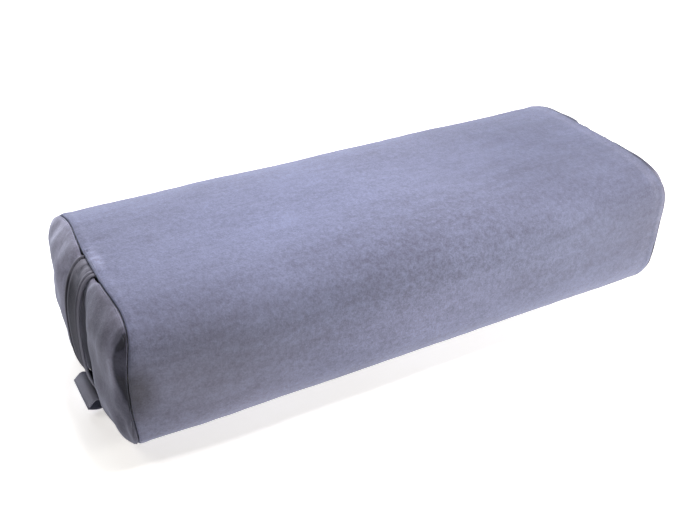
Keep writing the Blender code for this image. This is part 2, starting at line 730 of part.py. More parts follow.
def zip_slider(finish, carrier):
    """The slider: two plates on a wedge, flanges that hold the rows, and a bail for the pull."""
    pivot = carrier.location
    body = prism("zip_slider", slider_outline(SLIDER_FLANGE, 0.0), -SLIDER_UNDER - SLIDER_PLATE,
                 SLIDER_TOP + SLIDER_PLATE, finish, carrier, pivot)
    soften(body, SLIDER_CORNER)
    reach = SLIDER_LENGTH / 2 + OVERRUN
    side = CHANNEL_HALF + SPREAD + SLIDER_FLANGE + OVERRUN
    slot_loop = block_loop(SLIDER_X - reach, SLIDER_X + reach, MID_HEIGHT - side, MID_HEIGHT + side)
    slot = prism("slider_tape_slot", slot_loop, -SLIDER_UNDER, GAP, finish, carrier, pivot)
    mouth = prism("slider_channel", slider_outline(0.0, OVERRUN), 0.0, SLIDER_TOP, finish, carrier, pivot)
    post = prism("slider_post", post_outline(), -SLIDER_UNDER - SLIDER_PLATE / 2,
                 SLIDER_TOP + SLIDER_PLATE / 2, finish, carrier, pivot)
    bail = bail_form(finish, carrier, pivot)
    combine(body, slot, "DIFFERENCE")
    combine(body, mouth, "DIFFERENCE")
    combine(body, post, "UNION")
    combine(body, bail, "UNION")
    return body


def bail_form(finish, carrier, pivot):
    """The arch on the slider that holds the pull, seen from the side and widened across."""
    base = SLIDER_TOP + SLIDER_PLATE
    foot = base - SLIDER_PLATE / 2
    inside, outside = BAIL_HALF_LENGTH - BAIL_THICKNESS, BAIL_HALF_LENGTH
    low, high = base + BAIL_INSIDE, base + BAIL_INSIDE + BAIL_THICKNESS
    corner = BAIL_THICKNESS / 2
    loop = [(-outside, foot), (-outside, high - corner), (-outside + corner, high), (outside - corner, high),
            (outside, high - corner), (outside, foot), (inside, foot), (inside, low), (-inside, low),
            (-inside, foot)]
    bm = bmesh.new()
    corners = [bm.verts.new((SLIDER_X + x - pivot[0], TAPE_OUTER_Y + out - pivot[1],
                             MID_HEIGHT - BAIL_WIDTH / 2 - pivot[2])) for x, out in loop]
    face = bm.faces.new(corners)
    grown = bmesh.ops.extrude_face_region(bm, geom=[face])
    moved = [v for v in grown["geom"] if isinstance(v, bmesh.types.BMVert)]
    bmesh.ops.translate(bm, verts=moved, vec=Vector((0.0, 0.0, BAIL_WIDTH)))
    bmesh.ops.recalc_face_normals(bm, faces=bm.faces)
    mesh = bpy.data.meshes.new("slider_bail")
    bm.to_mesh(mesh)
    bm.free()
    return add_object("slider_bail", mesh, finish, carrier)


def zip_pull(finish, pivot_empty):
    """The pull: a flat tongue with an eye round the bail, swinging on the bar that closes the eye."""
    pivot = pivot_empty.location
    half, thick = PULL_WIDTH / 2, PULL_THICKNESS / 2
    tip = PULL_LENGTH - PULL_BAR_RADIUS
    points = [(0.0, PULL_BAR_RADIUS - half), (-PULL_EYE_LENGTH, -half)]
    points += [(-tip * along, -half * across) for along, across in PULL_OUTLINE_SHARES]
    loop = points + [(x, -z) for x, z in reversed(points)]
    loop = [(SLIDER_X + x, MID_HEIGHT + z) for x, z in loop]
    low, high = PIVOT_OUT - thick, PIVOT_OUT + thick
    tongue = prism("zip_pull", loop, low, high, finish, pivot_empty, pivot)
    soften(tongue, PULL_EDGE)
    eye = block_loop(SLIDER_X - PULL_EYE_LENGTH - PULL_BAR_RADIUS, SLIDER_X + OVERRUN,
                     MID_HEIGHT - PULL_EYE_WIDTH / 2, MID_HEIGHT + PULL_EYE_WIDTH / 2)
    hole = prism("pull_eye", eye, low - OVERRUN, high + OVERRUN, finish, pivot_empty, pivot)
    bm = bmesh.new()
    bmesh.ops.create_cone(bm, cap_ends=True, segments=PULL_BAR_SIDES, radius1=PULL_BAR_RADIUS,
                          radius2=PULL_BAR_RADIUS, depth=PULL_WIDTH - 2 * PULL_BAR_RADIUS)
    mesh = bpy.data.meshes.new("pull_bar")
    bm.to_mesh(mesh)
    bm.free()
    bar = add_object("pull_bar", mesh, finish, pivot_empty)
    combine(tongue, hole, "DIFFERENCE")
    combine(tongue, bar, "UNION")
    return tongue


def empty(name, place):
    """A guide point on a joint's axis."""
    item = bpy.data.objects.new(name, None)
    item.location = place
    bpy.context.scene.collection.objects.link(item)
    bpy.context.view_layer.update()
    return item


def dent(places):
    """Extra depth of the insert behind the zip, which leaves room for the slider."""
    z, y = sample(BASE_Z, places), sample(BASE_Y, places)
    off = (np.abs(z - MID_HEIGHT) - DENT_HALF) / DENT_FADE
    return np.where(y > 0, DENT_DEPTH * (1 - smooth_step(off)), 0.0)


def insert_columns():
    """Places round the insert, with extra ones at the edges of the dent behind the zip."""
    near = [DENT_HALF, ZIP_COLUMN]
    return np.array([above_zip(h) for h in near] + list(COMMON) + [below_zip(h) for h in near[::-1]])


def liner_wrap(finish):
    """The cotton sleeve of the insert, drawn in at its ends to its own seams."""
    places = insert_columns()
    turn_x = HALF - LINER_MARGIN
    seam_x = HALF - LINER_END_MARGIN
    rows = mirrored_rows(body_rows() + [turn_x, seam_x])
    outer, inner = [], []
    for x in rows:
        depth = LINER_DEPTH + dent(places)
        if abs(x) == turn_x:
            depth = np.maximum(depth, LINER_TURN_DEPTH)
        if abs(x) == seam_x:
            depth = np.full(len(places), LINER_END_DEPTH)
        outer.append(on_body(x, places, depth, bow=False))
        inner.append(on_body(x, places, depth + LINER, bow=False))
    mesh = shell("liner_wrap", np.array(outer), np.array(inner), closed=True)
    return add_object("liner_wrap", mesh, finish)


def liner_dome(shift, skin):
    """The crowned end of the insert at a depth under the outside of its liner."""
    seam_x = HALF - LINER_END_MARGIN + GAP
    base = HALF + SHOULDER_OUT - LINER_SLACK - seam_x - skin
    return Dome(shift, seam_x, lambda place: LINER_END_DEPTH + skin, base,
                (INNER_LINE_SHARES, INNER_RISE_SHARES))


def dome_solid(name, front, back, side, finish):
    """A solid between two equal grids of points, one in front of the other."""
    mesh = shell(name, mirror_to(side, front), mirror_to(side, back), closed=False)
    if side > 0:
        mesh.flip_normals()
    return add_object(name, mesh, finish)


def liner_end(name, side, shift, finish):
    """A crowned cotton end of the insert."""
    front, back = liner_dome(shift, 0.0).grid(), liner_dome(shift, LINER).grid()
    return dome_solid(name, front, back, side, finish)


def batting_end(name, side, shift, finish):
    """A pad of batting between the foam and the crowned end of the liner."""
    front = liner_dome(shift, LINER + BATTING_SIDE_CLEARANCE)
    points = front.grid()
    back = np.empty_like(points)
    for a, across in enumerate(front.across):
        for u, up in enumerate(front.up):
            share = max(abs(across), abs(up))
            centre = np.array([0.0, MID_HEIGHT])
            if share > 0:
                place = np.array([perimeter_place(across / share, up / share)])
                depth = BATTING_DEPTH + GAP + dent(place)
                rim = on_body(CORE_HALF, place, depth, bow=False)[0, 1:]
                centre = centre + share * (rim - centre)
            back[a, u] = (CORE_HALF + GAP, *centre)
    return dome_solid(name, points, back, side, finish)


def core_outline(grow):
    """The rounded rectangle of the foam core, grown outwards by a clearance."""
    inset = BATTING_DEPTH + BATTING
    half_y, half_z = WIDTH / 2 - inset + grow, MID_HEIGHT - inset + grow
    radius = CORE_RADIUS + grow
    points = []
    for turn, (sy, sz) in enumerate(((1, 1), (-1, 1), (-1, -1), (1, -1))):
        centre = sy * (half_y - radius), MID_HEIGHT + sz * (half_z - radius)
        for step in range(CORE_ARC_STEPS + 1):
            angle = (turn + step / CORE_ARC_STEPS) * math.pi / 2
            points.append((centre[0] + radius * math.cos(angle), centre[1] + radius * math.sin(angle)))
    return np.array(points)


def meet(loop, angle):
    """Where a ray from the middle of the section meets a closed loop around it."""
    direction = np.array([math.cos(angle), math.sin(angle)])
    ahead = np.roll(loop, -1, axis=0) - loop
    centre = loop - np.array([0.0, MID_HEIGHT])
    across = direction[0] * ahead[:, 1] - direction[1] * ahead[:, 0]
    along = (centre[:, 0] * ahead[:, 1] - centre[:, 1] * ahead[:, 0]) / across
    share = (centre[:, 0] * direction[1] - centre[:, 1] * direction[0]) / across
    hit = np.flatnonzero((along > 0) & (share > -ROUNDING) & (share < 1 + ROUNDING))[0]
    return np.array([0.0, MID_HEIGHT]) + along[hit] * direction


def batting_wrap(finish):
    """The batting rolled round the foam core, with the core's shape as its bore."""
    bore = core_outline(GAP)
    around = np.unwrap(np.arctan2(BASE_Z - MID_HEIGHT, BASE_Y))
    polar = np.mod(np.arctan2(bore[:, 1] - MID_HEIGHT, bore[:, 0]), 2 * math.pi)
    near = [above_zip(DENT_HALF), above_zip(DENT_HALF + DENT_FADE),
            below_zip(DENT_HALF), below_zip(DENT_HALF + DENT_FADE)]
    polar = np.sort(np.concatenate([polar, np.mod(sample(around, near), 2 * math.pi)]))
    places = np.interp(polar, around, np.arange(COUNT))
    ring = np.array([meet(bore, angle) for angle in polar])
    outer, inner = [], []
    for x in mirrored_rows([share * HALF for share in ROW_SHARES] + [CORE_HALF]):
        outer.append(on_body(x, places, BATTING_DEPTH + dent(places), bow=False))
        inner.append(np.column_stack([np.full(len(ring), x), ring]))
    mesh = shell("batting_wrap", np.array(outer), np.array(inner), closed=True)
    return add_object("batting_wrap", mesh, finish)


def foam_slab(name, number, finish):
    """One slab of the core: the core's outline cut between two levels."""
    loop = core_outline(0.0)
    bm = bmesh.new()
    face = bm.faces.new([bm.verts.new((-CORE_HALF, y, z)) for y, z in loop])
    grown = bmesh.ops.extrude_face_region(bm, geom=[face])
    moved = [v for v in grown["geom"] if isinstance(v, bmesh.types.BMVert)]
    bmesh.ops.translate(bm, verts=moved, vec=Vector((2 * CORE_HALF, 0.0, 0.0)))
    bottom, top = loop[:, 1].min(), loop[:, 1].max()
    pitch = (top - bottom) / CORE_SLABS
    cuts = []
    if number > 0:
        cuts.append((bottom + number * pitch + GAP / 2, -1))
    if number < CORE_SLABS - 1:
        cuts.append((bottom + (number + 1) * pitch - GAP / 2, 1))
    for level, away in cuts:
        whole = bm.verts[:] + bm.edges[:] + bm.faces[:]
        cut = bmesh.ops.bisect_plane(bm, geom=whole, plane_co=(0.0, 0.0, level),
                                     plane_no=(0.0, 0.0, away), clear_outer=True)
        edges = [e for e in cut["geom_cut"] if isinstance(e, bmesh.types.BMEdge)]
        bmesh.ops.contextual_create(bm, geom=edges)
    bmesh.ops.recalc_face_normals(bm, faces=bm.faces)
    mesh = bpy.data.meshes.new(name)
    bm.to_mesh(mesh)
    bm.free()
    return add_object(name, mesh, finish)


def build():
    """Make every piece of the bolster."""
    clear_scene()
    suede = material("suede", (0.27, 0.28, 0.46), 0.9)
    suede_end = material("suede_end", (0.20, 0.21, 0.33), 0.9)
    strap = material("suede_strap", (0.17, 0.17, 0.27), 0.9)
    label = material("label_tape", (0.30, 0.31, 0.43), 0.7)
    tape = material("zip_tape", (0.16, 0.16, 0.26), 0.8)
    nylon = material("zip_teeth", (0.14, 0.14, 0.22), 0.4)
    metal = material("zip_metal", (0.22, 0.22, 0.25), 0.35, 0.8)
    cotton = material("liner_cotton", (0.72, 0.70, 0.64), 0.9)
    fluff = material("batting", (0.83, 0.82, 0.78), 1.0)
    foam = material("foam", (0.80, 0.74, 0.50), 0.95)
    cover_wrap(suede)
    ends = (("left", -1, HANDLE_SHIFT_LEFT, True), ("right", 1, HANDLE_SHIFT_RIGHT, False))
    for name, side, shift, tab in ends:
        cover_end("cover_end_" + name, side, shift, tab, suede_end)
        handle("handle_" + name, side, shift, tab, strap)
        liner_end("liner_end_" + name, side, shift, cotton)
        batting_end("batting_end_" + name, side, shift, fluff)
    seam_tab(label)
    zip_tape("zip_tape_upper", 1, tape)
    zip_tape("zip_tape_lower", -1, tape)
    tooth_row("zip_teeth_upper", 1, nylon)
    tooth_row("zip_teeth_lower", -1, nylon)
    top_stop("zip_top_stop_upper", 1, nylon)
    top_stop("zip_top_stop_lower", -1, nylon)
    bottom_stop(nylon)
    carrier = empty("zip_carrier", (SLIDER_X, TAPE_OUTER_Y, MID_HEIGHT))
    zip_slider(metal, carrier)
    pivot = empty("pull_pivot", (SLIDER_X, PIVOT_Y, MID_HEIGHT))
    zip_pull(metal, pivot)
    liner_wrap(cotton)
    batting_wrap(fluff)
    for number, name in enumerate(("lower", "middle", "upper")):
        foam_slab("foam_slab_" + name, number, foam)


build()
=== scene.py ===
import logging
import math
from dataclasses import dataclass, field
from enum import Enum
from typing import Callable, Sequence, Union

import bpy
import numpy as np
from mathutils import Matrix


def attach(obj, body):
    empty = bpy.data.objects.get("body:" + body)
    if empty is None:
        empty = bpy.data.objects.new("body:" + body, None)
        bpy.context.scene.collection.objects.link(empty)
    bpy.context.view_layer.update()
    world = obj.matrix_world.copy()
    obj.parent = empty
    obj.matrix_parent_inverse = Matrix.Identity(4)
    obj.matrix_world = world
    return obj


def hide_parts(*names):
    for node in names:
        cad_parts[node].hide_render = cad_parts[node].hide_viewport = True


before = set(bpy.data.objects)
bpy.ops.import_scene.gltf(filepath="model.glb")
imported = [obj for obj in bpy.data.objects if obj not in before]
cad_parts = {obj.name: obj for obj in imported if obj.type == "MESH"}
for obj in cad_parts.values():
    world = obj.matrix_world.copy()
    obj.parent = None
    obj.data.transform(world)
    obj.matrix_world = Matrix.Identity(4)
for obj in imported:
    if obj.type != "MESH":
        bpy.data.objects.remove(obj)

"""Looks of a rectangular yoga bolster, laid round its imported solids.

World frame, in metres: the origin is under the middle of the bolster, +Z is up, +X runs along the bolster
away from the end with the tab, and the zip is on the +Y face. Every surface is worked out with numpy from
the sizes in the classes below, and each piece rides on the body that carries it.
"""

Array = np.ndarray
Value = Union[float, "Port"]
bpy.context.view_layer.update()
BODY = "bolster"
PANEL_SEED = 21
STRAP_SEED = 31
SLEEVE_SEED = 41
PAD_SEED = 47
CLOTH_MAP = "cloth"
IMAGE_WIDTH = 679
SHADE_ANGLE = math.radians(42)
log = logging.getLogger("bolster")


class End(Enum):
    """The two ends of the bolster."""

    LEFT = -1
    RIGHT = 1

    @property
    def label(self) -> str:
        """The word that piece names carry."""
        return self.name.lower()


def smooth_step(value: Array) -> Array:
    """Rise from 0 to 1 with level ends: 3t^2 - 2t^3, with t held between 0 and 1."""
    share = np.clip(value, 0.0, 1.0)
    return share * share * (3.0 - 2.0 * share)


def eased_in(value: Array, start: float, over: float) -> Array:
    """A smooth step from 0 at the start to 1 a length further on."""
    return smooth_step((value - start) / over)


def eased_out(value: Array, start: float, over: float) -> Array:
    """A smooth step from 1 at the start to 0 a length further on."""
    return 1 - eased_in(value, start, over)


def hump(value: Array, centre: float, width: float) -> Array:
    """A bell of height 1: exp(-((value - centre) / width)^2)."""
    return np.exp(-(((value - centre) / width) ** 2))


@dataclass(frozen=True)
class Waves:
    """A smooth uneven field: a sum of sines whose headings, lengths and phases come from one seed."""

    seed: int
    longest: float
    shortest: float
    count: int = 12

    def __call__(self, a: Array, b: Array) -> Array:
        """The field at places (a, b), about -2 to 2, from sin(2 pi (a cos h + b sin h) / length + phase).

        Args:
            a: First coordinate, in metres.
            b: Second coordinate, in metres.

        Returns:
            One value a place.
        """
        draw = np.random.default_rng(self.seed)
        heading = draw.uniform(0, math.pi, self.count)
        length = np.exp(draw.uniform(math.log(self.shortest), math.log(self.longest), self.count))
        phase = draw.uniform(0, 2 * math.pi, self.count)
        a, b = np.asarray(a)[..., None], np.asarray(b)[..., None]
        along = (a * np.cos(heading) + b * np.sin(heading)) / length
        return np.sin(2 * math.pi * along + phase).sum(-1) / math.sqrt(self.count)


@dataclass
class StuffedForm:
    """The outside of the stuffed cover, as a row of rounded sections along X.

    A section follows |y / a|^n + |z / b|^n = 1 with one power above mid-height and another below. It is
    pressed level on the floor, and its front and back are drawn in towards the end seams.
    """

    seam_length: float = 0.614
    width: float = 0.264
    height: float = 0.160
    top_power: float = 4.1
    low_power: float = 3.0
    press_depth: float = 0.005
    press_blend: float = 0.002
    draw_in: float = 0.012
    draw_in_right: float = 0.0085
    seam_bow: float = 0.0045
    scallop: float = 0.0038
    lobe_middles: tuple[float, float] = (0.075, -0.095)
    lobe_widths: tuple[float, float] = (0.036, 0.032)
    lobe_foot: float = 0.115
    lobe_rise: float = 0.035
    draw_power: int = 6
    draw_sharpness: int = 8
    zip_stiff_half: float = 0.017
    zip_stiff_fade: float = 0.043
    steps: int = 1200
    table: dict[str, Array] = field(init=False, repr=False)
    girth: float = field(init=False)

    def __post_init__(self) -> None:
        """Tabulate the middle section by its length round, from the zip line up and over the top."""
        quarter = smooth_step(np.arange(self.steps) / self.steps) * math.pi / 2
        angle = np.concatenate([quarter + turn * math.pi / 2 for turn in range(4)])
        upper = np.arange(len(angle)) < 2 * self.steps
        c, s = np.cos(angle), np.sin(angle)
        power = np.where(upper, self.top_power, self.low_power)
        reach = self.middle + np.where(upper, 0.0, self.press_depth)
        y = self.width / 2 * np.sign(c) * np.abs(c) ** (2 / power)
        z = self.middle + reach * np.sign(s) * np.abs(s) ** (2 / power)
        z = self.pressed(z)
        up = (z - self.middle) / self.middle
        side = np.clip(np.abs(y / (self.width / 2)) ** self.draw_sharpness * (1 - up * up), 0.0, 1.0)
        from_zip = eased_in(np.abs(z - self.middle), self.zip_stiff_half, self.zip_stiff_fade)
        side = np.where(y > 0, side * from_zip, side)
        run = np.hypot(np.diff(y, append=y[0]), np.diff(z, append=z[0]))
        arc = np.concatenate([[0.0], np.cumsum(run)])
        self.girth = float(arc[-1])
        self.table = {"arc": arc}
        lobes = sum(hump(y, middle, width) for middle, width in zip(self.lobe_middles, self.lobe_widths))
        lobes = lobes * eased_in(z, self.lobe_foot, self.lobe_rise)
        for name, values in (("y", y), ("z", z), ("side", side), ("lobes", lobes)):
            closed = np.append(values, values[0])
            self.table[name] = closed
            self.table["d" + name] = np.gradient(closed, arc)

    @property
    def half(self) -> float:
        """Distance from the middle to an end seam."""
        return self.seam_length / 2

    @property
    def middle(self) -> float:
        """Half the height."""
        return self.height / 2

    def pressed(self, z: Array) -> Array:
        """Level at 0 wherever the round underside would reach below the floor."""
        blend = (z + self.press_blend) ** 2 / (4 * self.press_blend)
        return np.where(z > self.press_blend, z, np.where(z < -self.press_blend, 0.0, blend))

    def read(self, name: str, arc: Array) -> Array:
        """Read a table at lengths round the section."""
        return np.interp(np.mod(arc, self.girth), self.table["arc"], self.table[name])

    def end_share(self, x: Array) -> Array:
        """0 along the middle of the bolster and 1 at its end seams."""
        return np.minimum(1.0, np.abs(x / self.half)) ** self.draw_power

    def bow(self, left: Array, arc: Array) -> Array:
        """How far a seam stands past its straight line: out at the sides, and in over the left end's two lobes."""
        return self.seam_bow * self.read("side", arc) - self.scallop * self.read("lobes", arc) * left

    def at(self, x: Array, arc: Array, depth: Array = 0.0, bowed: bool = True) -> Array:
        """Points under the outside of the cover: the section's point less depth times its normal there.

        Args:
            x: Places along the bolster.
            arc: Lengths round the section, from the zip line up.
            depth: How far inwards the points lie.
            bowed: Whether the front and back bulge a little past the straight seam line.

        Returns:
            Points, with one more axis than the broadcast inputs.
        """
        x, arc, depth = np.broadcast_arrays(*(np.asarray(v, dtype=float) for v in (x, arc, depth)))
        y, z, side = self.read("y", arc), self.read("z", arc), self.read("side", arc)
        most = np.where(x > 0, self.draw_in_right, self.draw_in)
        pull = np.sign(y) * most * self.end_share(x)
        ahead_y = self.read("dy", arc) - pull * self.read("dside", arc)
        ahead_z = self.read("dz", arc)
        length = np.hypot(ahead_y, ahead_z)
        bow = np.sign(x) * self.end_share(x) * self.bow(x < 0, arc) if bowed else 0.0
        return np.stack([
            x + bow,
            y - pull * side - depth * ahead_z / length,
            z + depth * ahead_y / length,
        ], axis=-1)

    def above_zip(self, rise: Array) -> Array:
        """Length round to a height above the zip line, on the back face."""
        quarter = self.table["z"][: self.steps] - self.middle
        return np.interp(rise, quarter, self.table["arc"][: self.steps])

    def below_zip(self, drop: Array) -> Array:
        """Length round to a height below the zip line, on the back face."""
        quarter = slice(len(self.table["z"]) - 1, 3 * self.steps, -1)
        return np.interp(drop, self.middle - self.table["z"][quarter], self.table["arc"][quarter])


FORM = StuffedForm()


def spaced(count: int, crowd: float = 0.0) -> Array:
    """Places from -1 to 1, closer together at both ends as crowd nears 1: t - crowd sin(pi t) / pi, mirrored."""
    t = np.linspace(-1.0, 1.0, count)
    return t + crowd * np.sin(math.pi * t) / math.pi


def lay_mesh(name: str, points: Array, faces: Sequence, finish: "Finish") -> bpy.types.Object:
    """Make an object at the origin from points and faces, and dress it.

    Args:
        name: The piece's name.
        points: Its points, on any grid.
        faces: Corner numbers of each face, in the order that faces outwards.
        finish: What it is dressed in.

    Returns:
        The object, shaded smooth but for its sharp edges.
    """
    mesh = bpy.data.meshes.new(name)
    mesh.from_pydata(np.asarray(points, dtype=np.float64).reshape(-1, 3), [], faces)
    mesh.update()
    mesh.shade_smooth()
    mesh.set_sharp_from_angle(angle=SHADE_ANGLE)
    item = bpy.data.objects.new(name, mesh)
    bpy.context.scene.collection.objects.link(item)
    item.data.materials.append(finish.material())
    return item


def quads(rows: int, columns: int, around: bool = False, first: int = 0) -> Array:
    """Corner numbers of the quads of a grid of points.

    Args:
        rows: How many rows of points there are.
        columns: How many points a row has.
        around: Whether the last column joins the first.
        first: The number of the grid's first point.

    Returns:
        Four numbers a quad.
    """
    across = np.arange(columns if around else columns - 1)
    row, column = np.meshgrid(np.arange(rows - 1), across, indexing="ij")
    a = row * columns + column
    b = row * columns + (column + 1) % columns
    return first + np.stack([a, b, b + columns, a + columns], axis=-1).reshape(-1, 4)


def set_at_end(points: Array, faces: Array, end: End) -> tuple[Array, Array]:
    """Mirror a piece made at the +X end to its own end, and turn its faces over with it."""
    return points * (end.value, 1, 1), faces[:, ::-1] if end is End.LEFT else faces


def add_uv(item: bpy.types.Object, across: Array, along: Array) -> None:
    """Give a piece a UV map in metres.

    Args:
        item: The piece.
        across: One value a vertex, for U.
        along: One value a vertex, for V.
    """
    mesh = item.data
    corner = np.empty(len(mesh.loops), dtype=np.int32)
    mesh.loops.foreach_get("vertex_index", corner)
    layer = mesh.uv_layers.new(name=CLOTH_MAP)
    pairs = np.stack([np.ravel(across)[corner], np.ravel(along)[corner]], axis=-1)
    layer.data.foreach_set("uv", pairs.astype(np.float32).ravel())


def thicken(item: bpy.types.Object, wall: float) -> None:
    """Give a single layer of cloth its wall.

    Args:
        item: The cloth.
        wall: Its thickness, measured inwards in metres.
    """
    step = item.modifiers.new("wall", "SOLIDIFY")
    step.thickness = wall
    step.offset = -1.0
    step.use_even_offset = False


def carried(item: bpy.types.Object, slot: str, *nodes: str) -> bpy.types.Object:
    """Ride a piece on the bolster's body, hide the CAD nodes that it stands for, and report it.

    Args:
        item: The finished piece.
        slot: The name of its finish; not used.
        nodes: The CAD nodes that it stands for.

    Returns:
        The same piece.
    """
    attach(item, BODY)
    if nodes:
        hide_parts(*nodes)
    log.info("%s: %d points", item.name, len(item.data.vertices))
    return item


# ---- shader maths ----

MIX_COLOUR_INPUTS = (0, 6, 7)
MIX_COLOUR_OUTPUT = 2


def sum_method(operation: str, reflected: bool = False) -> Callable[["Port", Value], "Port"]:
    """An operator of a port, which adds a Math node on the port and another value.

    Args:
        operation: The Math node's operation.
        reflected: Whether the other value comes first, as in 1 - mask.

    Returns:
        The method.
    """
    def method(port: "Port", other: Value) -> "Port":
        """The port and the other value, joined in their order."""
        return port.math(operation, other, port) if reflected else port.math(operation, port, other)

    return method


class Port:
    """A shader socket that takes part in sums, each of which adds a Math node."""

    __add__, __radd__ = sum_method("ADD"), sum_method("ADD", reflected=True)
    __sub__, __rsub__ = sum_method("SUBTRACT"), sum_method("SUBTRACT", reflected=True)
    __mul__, __rmul__ = sum_method("MULTIPLY"), sum_method("MULTIPLY", reflected=True)

    def __init__(self, graph: "Graph", socket: bpy.types.NodeSocket) -> None:
        """Wrap a socket of a graph."""
        self.graph, self.socket = graph, socket

    def math(self, operation: str, *values: Value) -> "Port":
        """Add a Math node on these values."""
        inputs = dict(enumerate(values))
        return self.graph.node("ShaderNodeMath", {"operation": operation}, inputs)[0]

    def absolute(self) -> "Port":
        """Its distance from 0."""
        return self.math("ABSOLUTE", self)

    def ribs(self, pitch: float) -> "Port":
        """A row of round ribs, one a pitch: |sin(pi value / pitch)|."""
        return self.math("SINE", self * (math.pi / pitch)).absolute()

    def clamped(self) -> "Port":
        """Held between 0 and 1."""
        return self.math("MINIMUM", self.math("MAXIMUM", self, 0.0), 1.0)

    def step(self, low: float, high: float) -> "Port":
        """Rise from 0 at the low value to 1 at the high one, with level ends."""
        inputs = {"Value": self, "From Min": low, "From Max": high}
        return self.graph.node("ShaderNodeMapRange", {"interpolation_type": "SMOOTHSTEP"}, inputs)["Result"]


class Outputs:
    """The output sockets of a node, by name or number."""

    def __init__(self, graph: "Graph", node: bpy.types.Node) -> None:
        """Wrap a node of a graph."""
        self.graph, self.node = graph, node

    def __getitem__(self, key: Union[str, int]) -> Port:
        """One output."""
        return Port(self.graph, self.node.outputs[key])


class Graph:
    """The node tree of a material, or of the studio's surround."""

    def __init__(self, owner: Union[bpy.types.Material, bpy.types.World], shader: str = "Principled BSDF") -> None:
        """Switch on the nodes of a new material or world.

        Args:
            owner: The material or world.
            shader: The name of the node that its dress goes to.
        """
        owner.use_nodes = True
        self.tree = owner.node_tree
        self.shader = self.tree.nodes[shader]

    def feed(self, socket: bpy.types.NodeSocket, value: object) -> None:
        """Link a port to a socket, or set the socket's own value.

        Args:
            socket: The input to feed.
            value: A port, or the number, vector or colour to set.
        """
        if isinstance(value, Port):
            self.tree.links.new(value.socket, socket)
        else:
            socket.default_value = value

    def node(self, kind: str, settings: dict, inputs: dict) -> Outputs:
        """Add a node: its settings first, then the values or links of its sockets.

        Args:
            kind: The node's type.
            settings: Attributes of the node, such as a Math node's operation.
            inputs: Values or ports, by the socket's name or number.

        Returns:
            The node's outputs.
        """
        made = self.tree.nodes.new(kind)
        for key, value in settings.items():
            setattr(made, key, value)
        for key, value in inputs.items():
            self.feed(made.inputs[key], value)
        return Outputs(self, made)

    def places(self, stretch: Sequence[float] = (1.0, 1.0, 1.0)) -> Port:
        """Object coordinates, stretched along the axes."""
        start = self.node("ShaderNodeTexCoord", {}, {})["Object"]
        return self.node("ShaderNodeMapping", {}, {"Vector": start, "Scale": stretch})["Vector"]

    def cloth_places(self) -> tuple[Port, Port]:
        """Places across and along the piece's own cloth, in metres, from its UV map."""
        return self.split(self.node("ShaderNodeUVMap", {"uv_map": CLOTH_MAP}, {})["UV"])[:2]

    def noise(self, scale: float, detail: float = 2.0, rough: float = 0.5,
              stretch: Sequence[float] = (1.0, 1.0, 1.0)) -> Port:
        """Smooth noise, from 0 to 1, about 0.5, on object coordinates stretched along the axes."""
        inputs = {"Vector": self.places(stretch), "Scale": scale, "Detail": detail, "Roughness": rough}
        return self.node("ShaderNodeTexNoise", {}, inputs)["Fac"]

    def mix(self, share: Value, first: object, second: object) -> Port:
        """Blend two colours or ports, where a share of 1 gives the second."""
        inputs = dict(zip(MIX_COLOUR_INPUTS, (share, first, second)))
        return self.node("ShaderNodeMix", {"data_type": "RGBA"}, inputs)[MIX_COLOUR_OUTPUT]

    def vector(self, operation: str, *values: object, **named: Value) -> Port:
        """Add a Vector Math node on these vectors and any named number."""
        inputs = {**dict(enumerate(values)), **named}
        return self.node("ShaderNodeVectorMath", {"operation": operation}, inputs)["Vector"]

    def split(self, where: Port) -> tuple[Port, Port, Port]:
        """The three numbers of a vector."""
        made = self.node("ShaderNodeSeparateXYZ", {}, {"Vector": where})
        return made["X"], made["Y"], made["Z"]

    def bump(self, height: Port, distance: float, strength: float = 1.0) -> None:
        """Feed the surface's normal from a height field, in which 1 stands for a distance in metres."""
        inputs = {"Height": height, "Distance": distance, "Strength": strength}
        self.feed(self.shader.inputs["Normal"], self.node("ShaderNodeBump", {}, inputs)["Normal"])

    def dress(self, **values: object) -> None:
        """Feed the surface's own sockets, whose names have underscores here for their spaces."""
        for key, value in values.items():
            self.feed(self.shader.inputs[key.replace("_", " ")], value)


Colour = tuple[float, float, float, float]


def paint(red: float, green: float, blue: float) -> Colour:
    """An opaque linear colour."""
    return (red, green, blue, 1.0)


def shaded(tone: Colour, share: float) -> Colour:
    """A tone made darker, or lighter up to white."""
    return paint(*(min(1.0, share * part) for part in tone[:3]))


@dataclass(frozen=True)
class Finish:
    """One finish, made into a material once."""

    name: str

    def material(self) -> bpy.types.Material:
        """Make the material at its first use.

        Returns:
            The finished material.
        """
        if self.name not in bpy.data.materials:
            self.make(Graph(bpy.data.materials.new(self.name)))
        return bpy.data.materials[self.name]

    def make(self, graph: Graph) -> None:
        """Build the nodes of this finish in an empty material."""
        raise NotImplementedError


@dataclass(frozen=True)
class Lie:
    """A broad place whose colour is made darker or lighter: mostly painted shade and painted highlight where the
    lamps leave the cloth too light or too dark, partly where the nap lies another way.

    Its share is 1 within the core of an ellipsoid with these half-lengths and falls smoothly to 0 at its edge.
    """

    middle: tuple[float, float, float]
    reach: tuple[float, float, float]
    change: tuple[float, float, float] = (0.0, 0.0, 0.0)
    core: float = 0.0

    def share(self, graph: Graph) -> Port:
        """How much of the change shows at each place: 1 - step(distance in half-lengths).

        Args:
            graph: The material's nodes.

        Returns:
            The share, from 0 to 1.
        """
        stretch = tuple(1.0 / part for part in self.reach)
        centre = tuple(part * scale for part, scale in zip(self.middle, stretch))
        inputs = {0: graph.places(stretch), 1: centre}
        away = graph.node("ShaderNodeVectorMath", {"operation": "DISTANCE"}, inputs)["Value"]
        return 1.0 - away.step(self.core, 1.0)
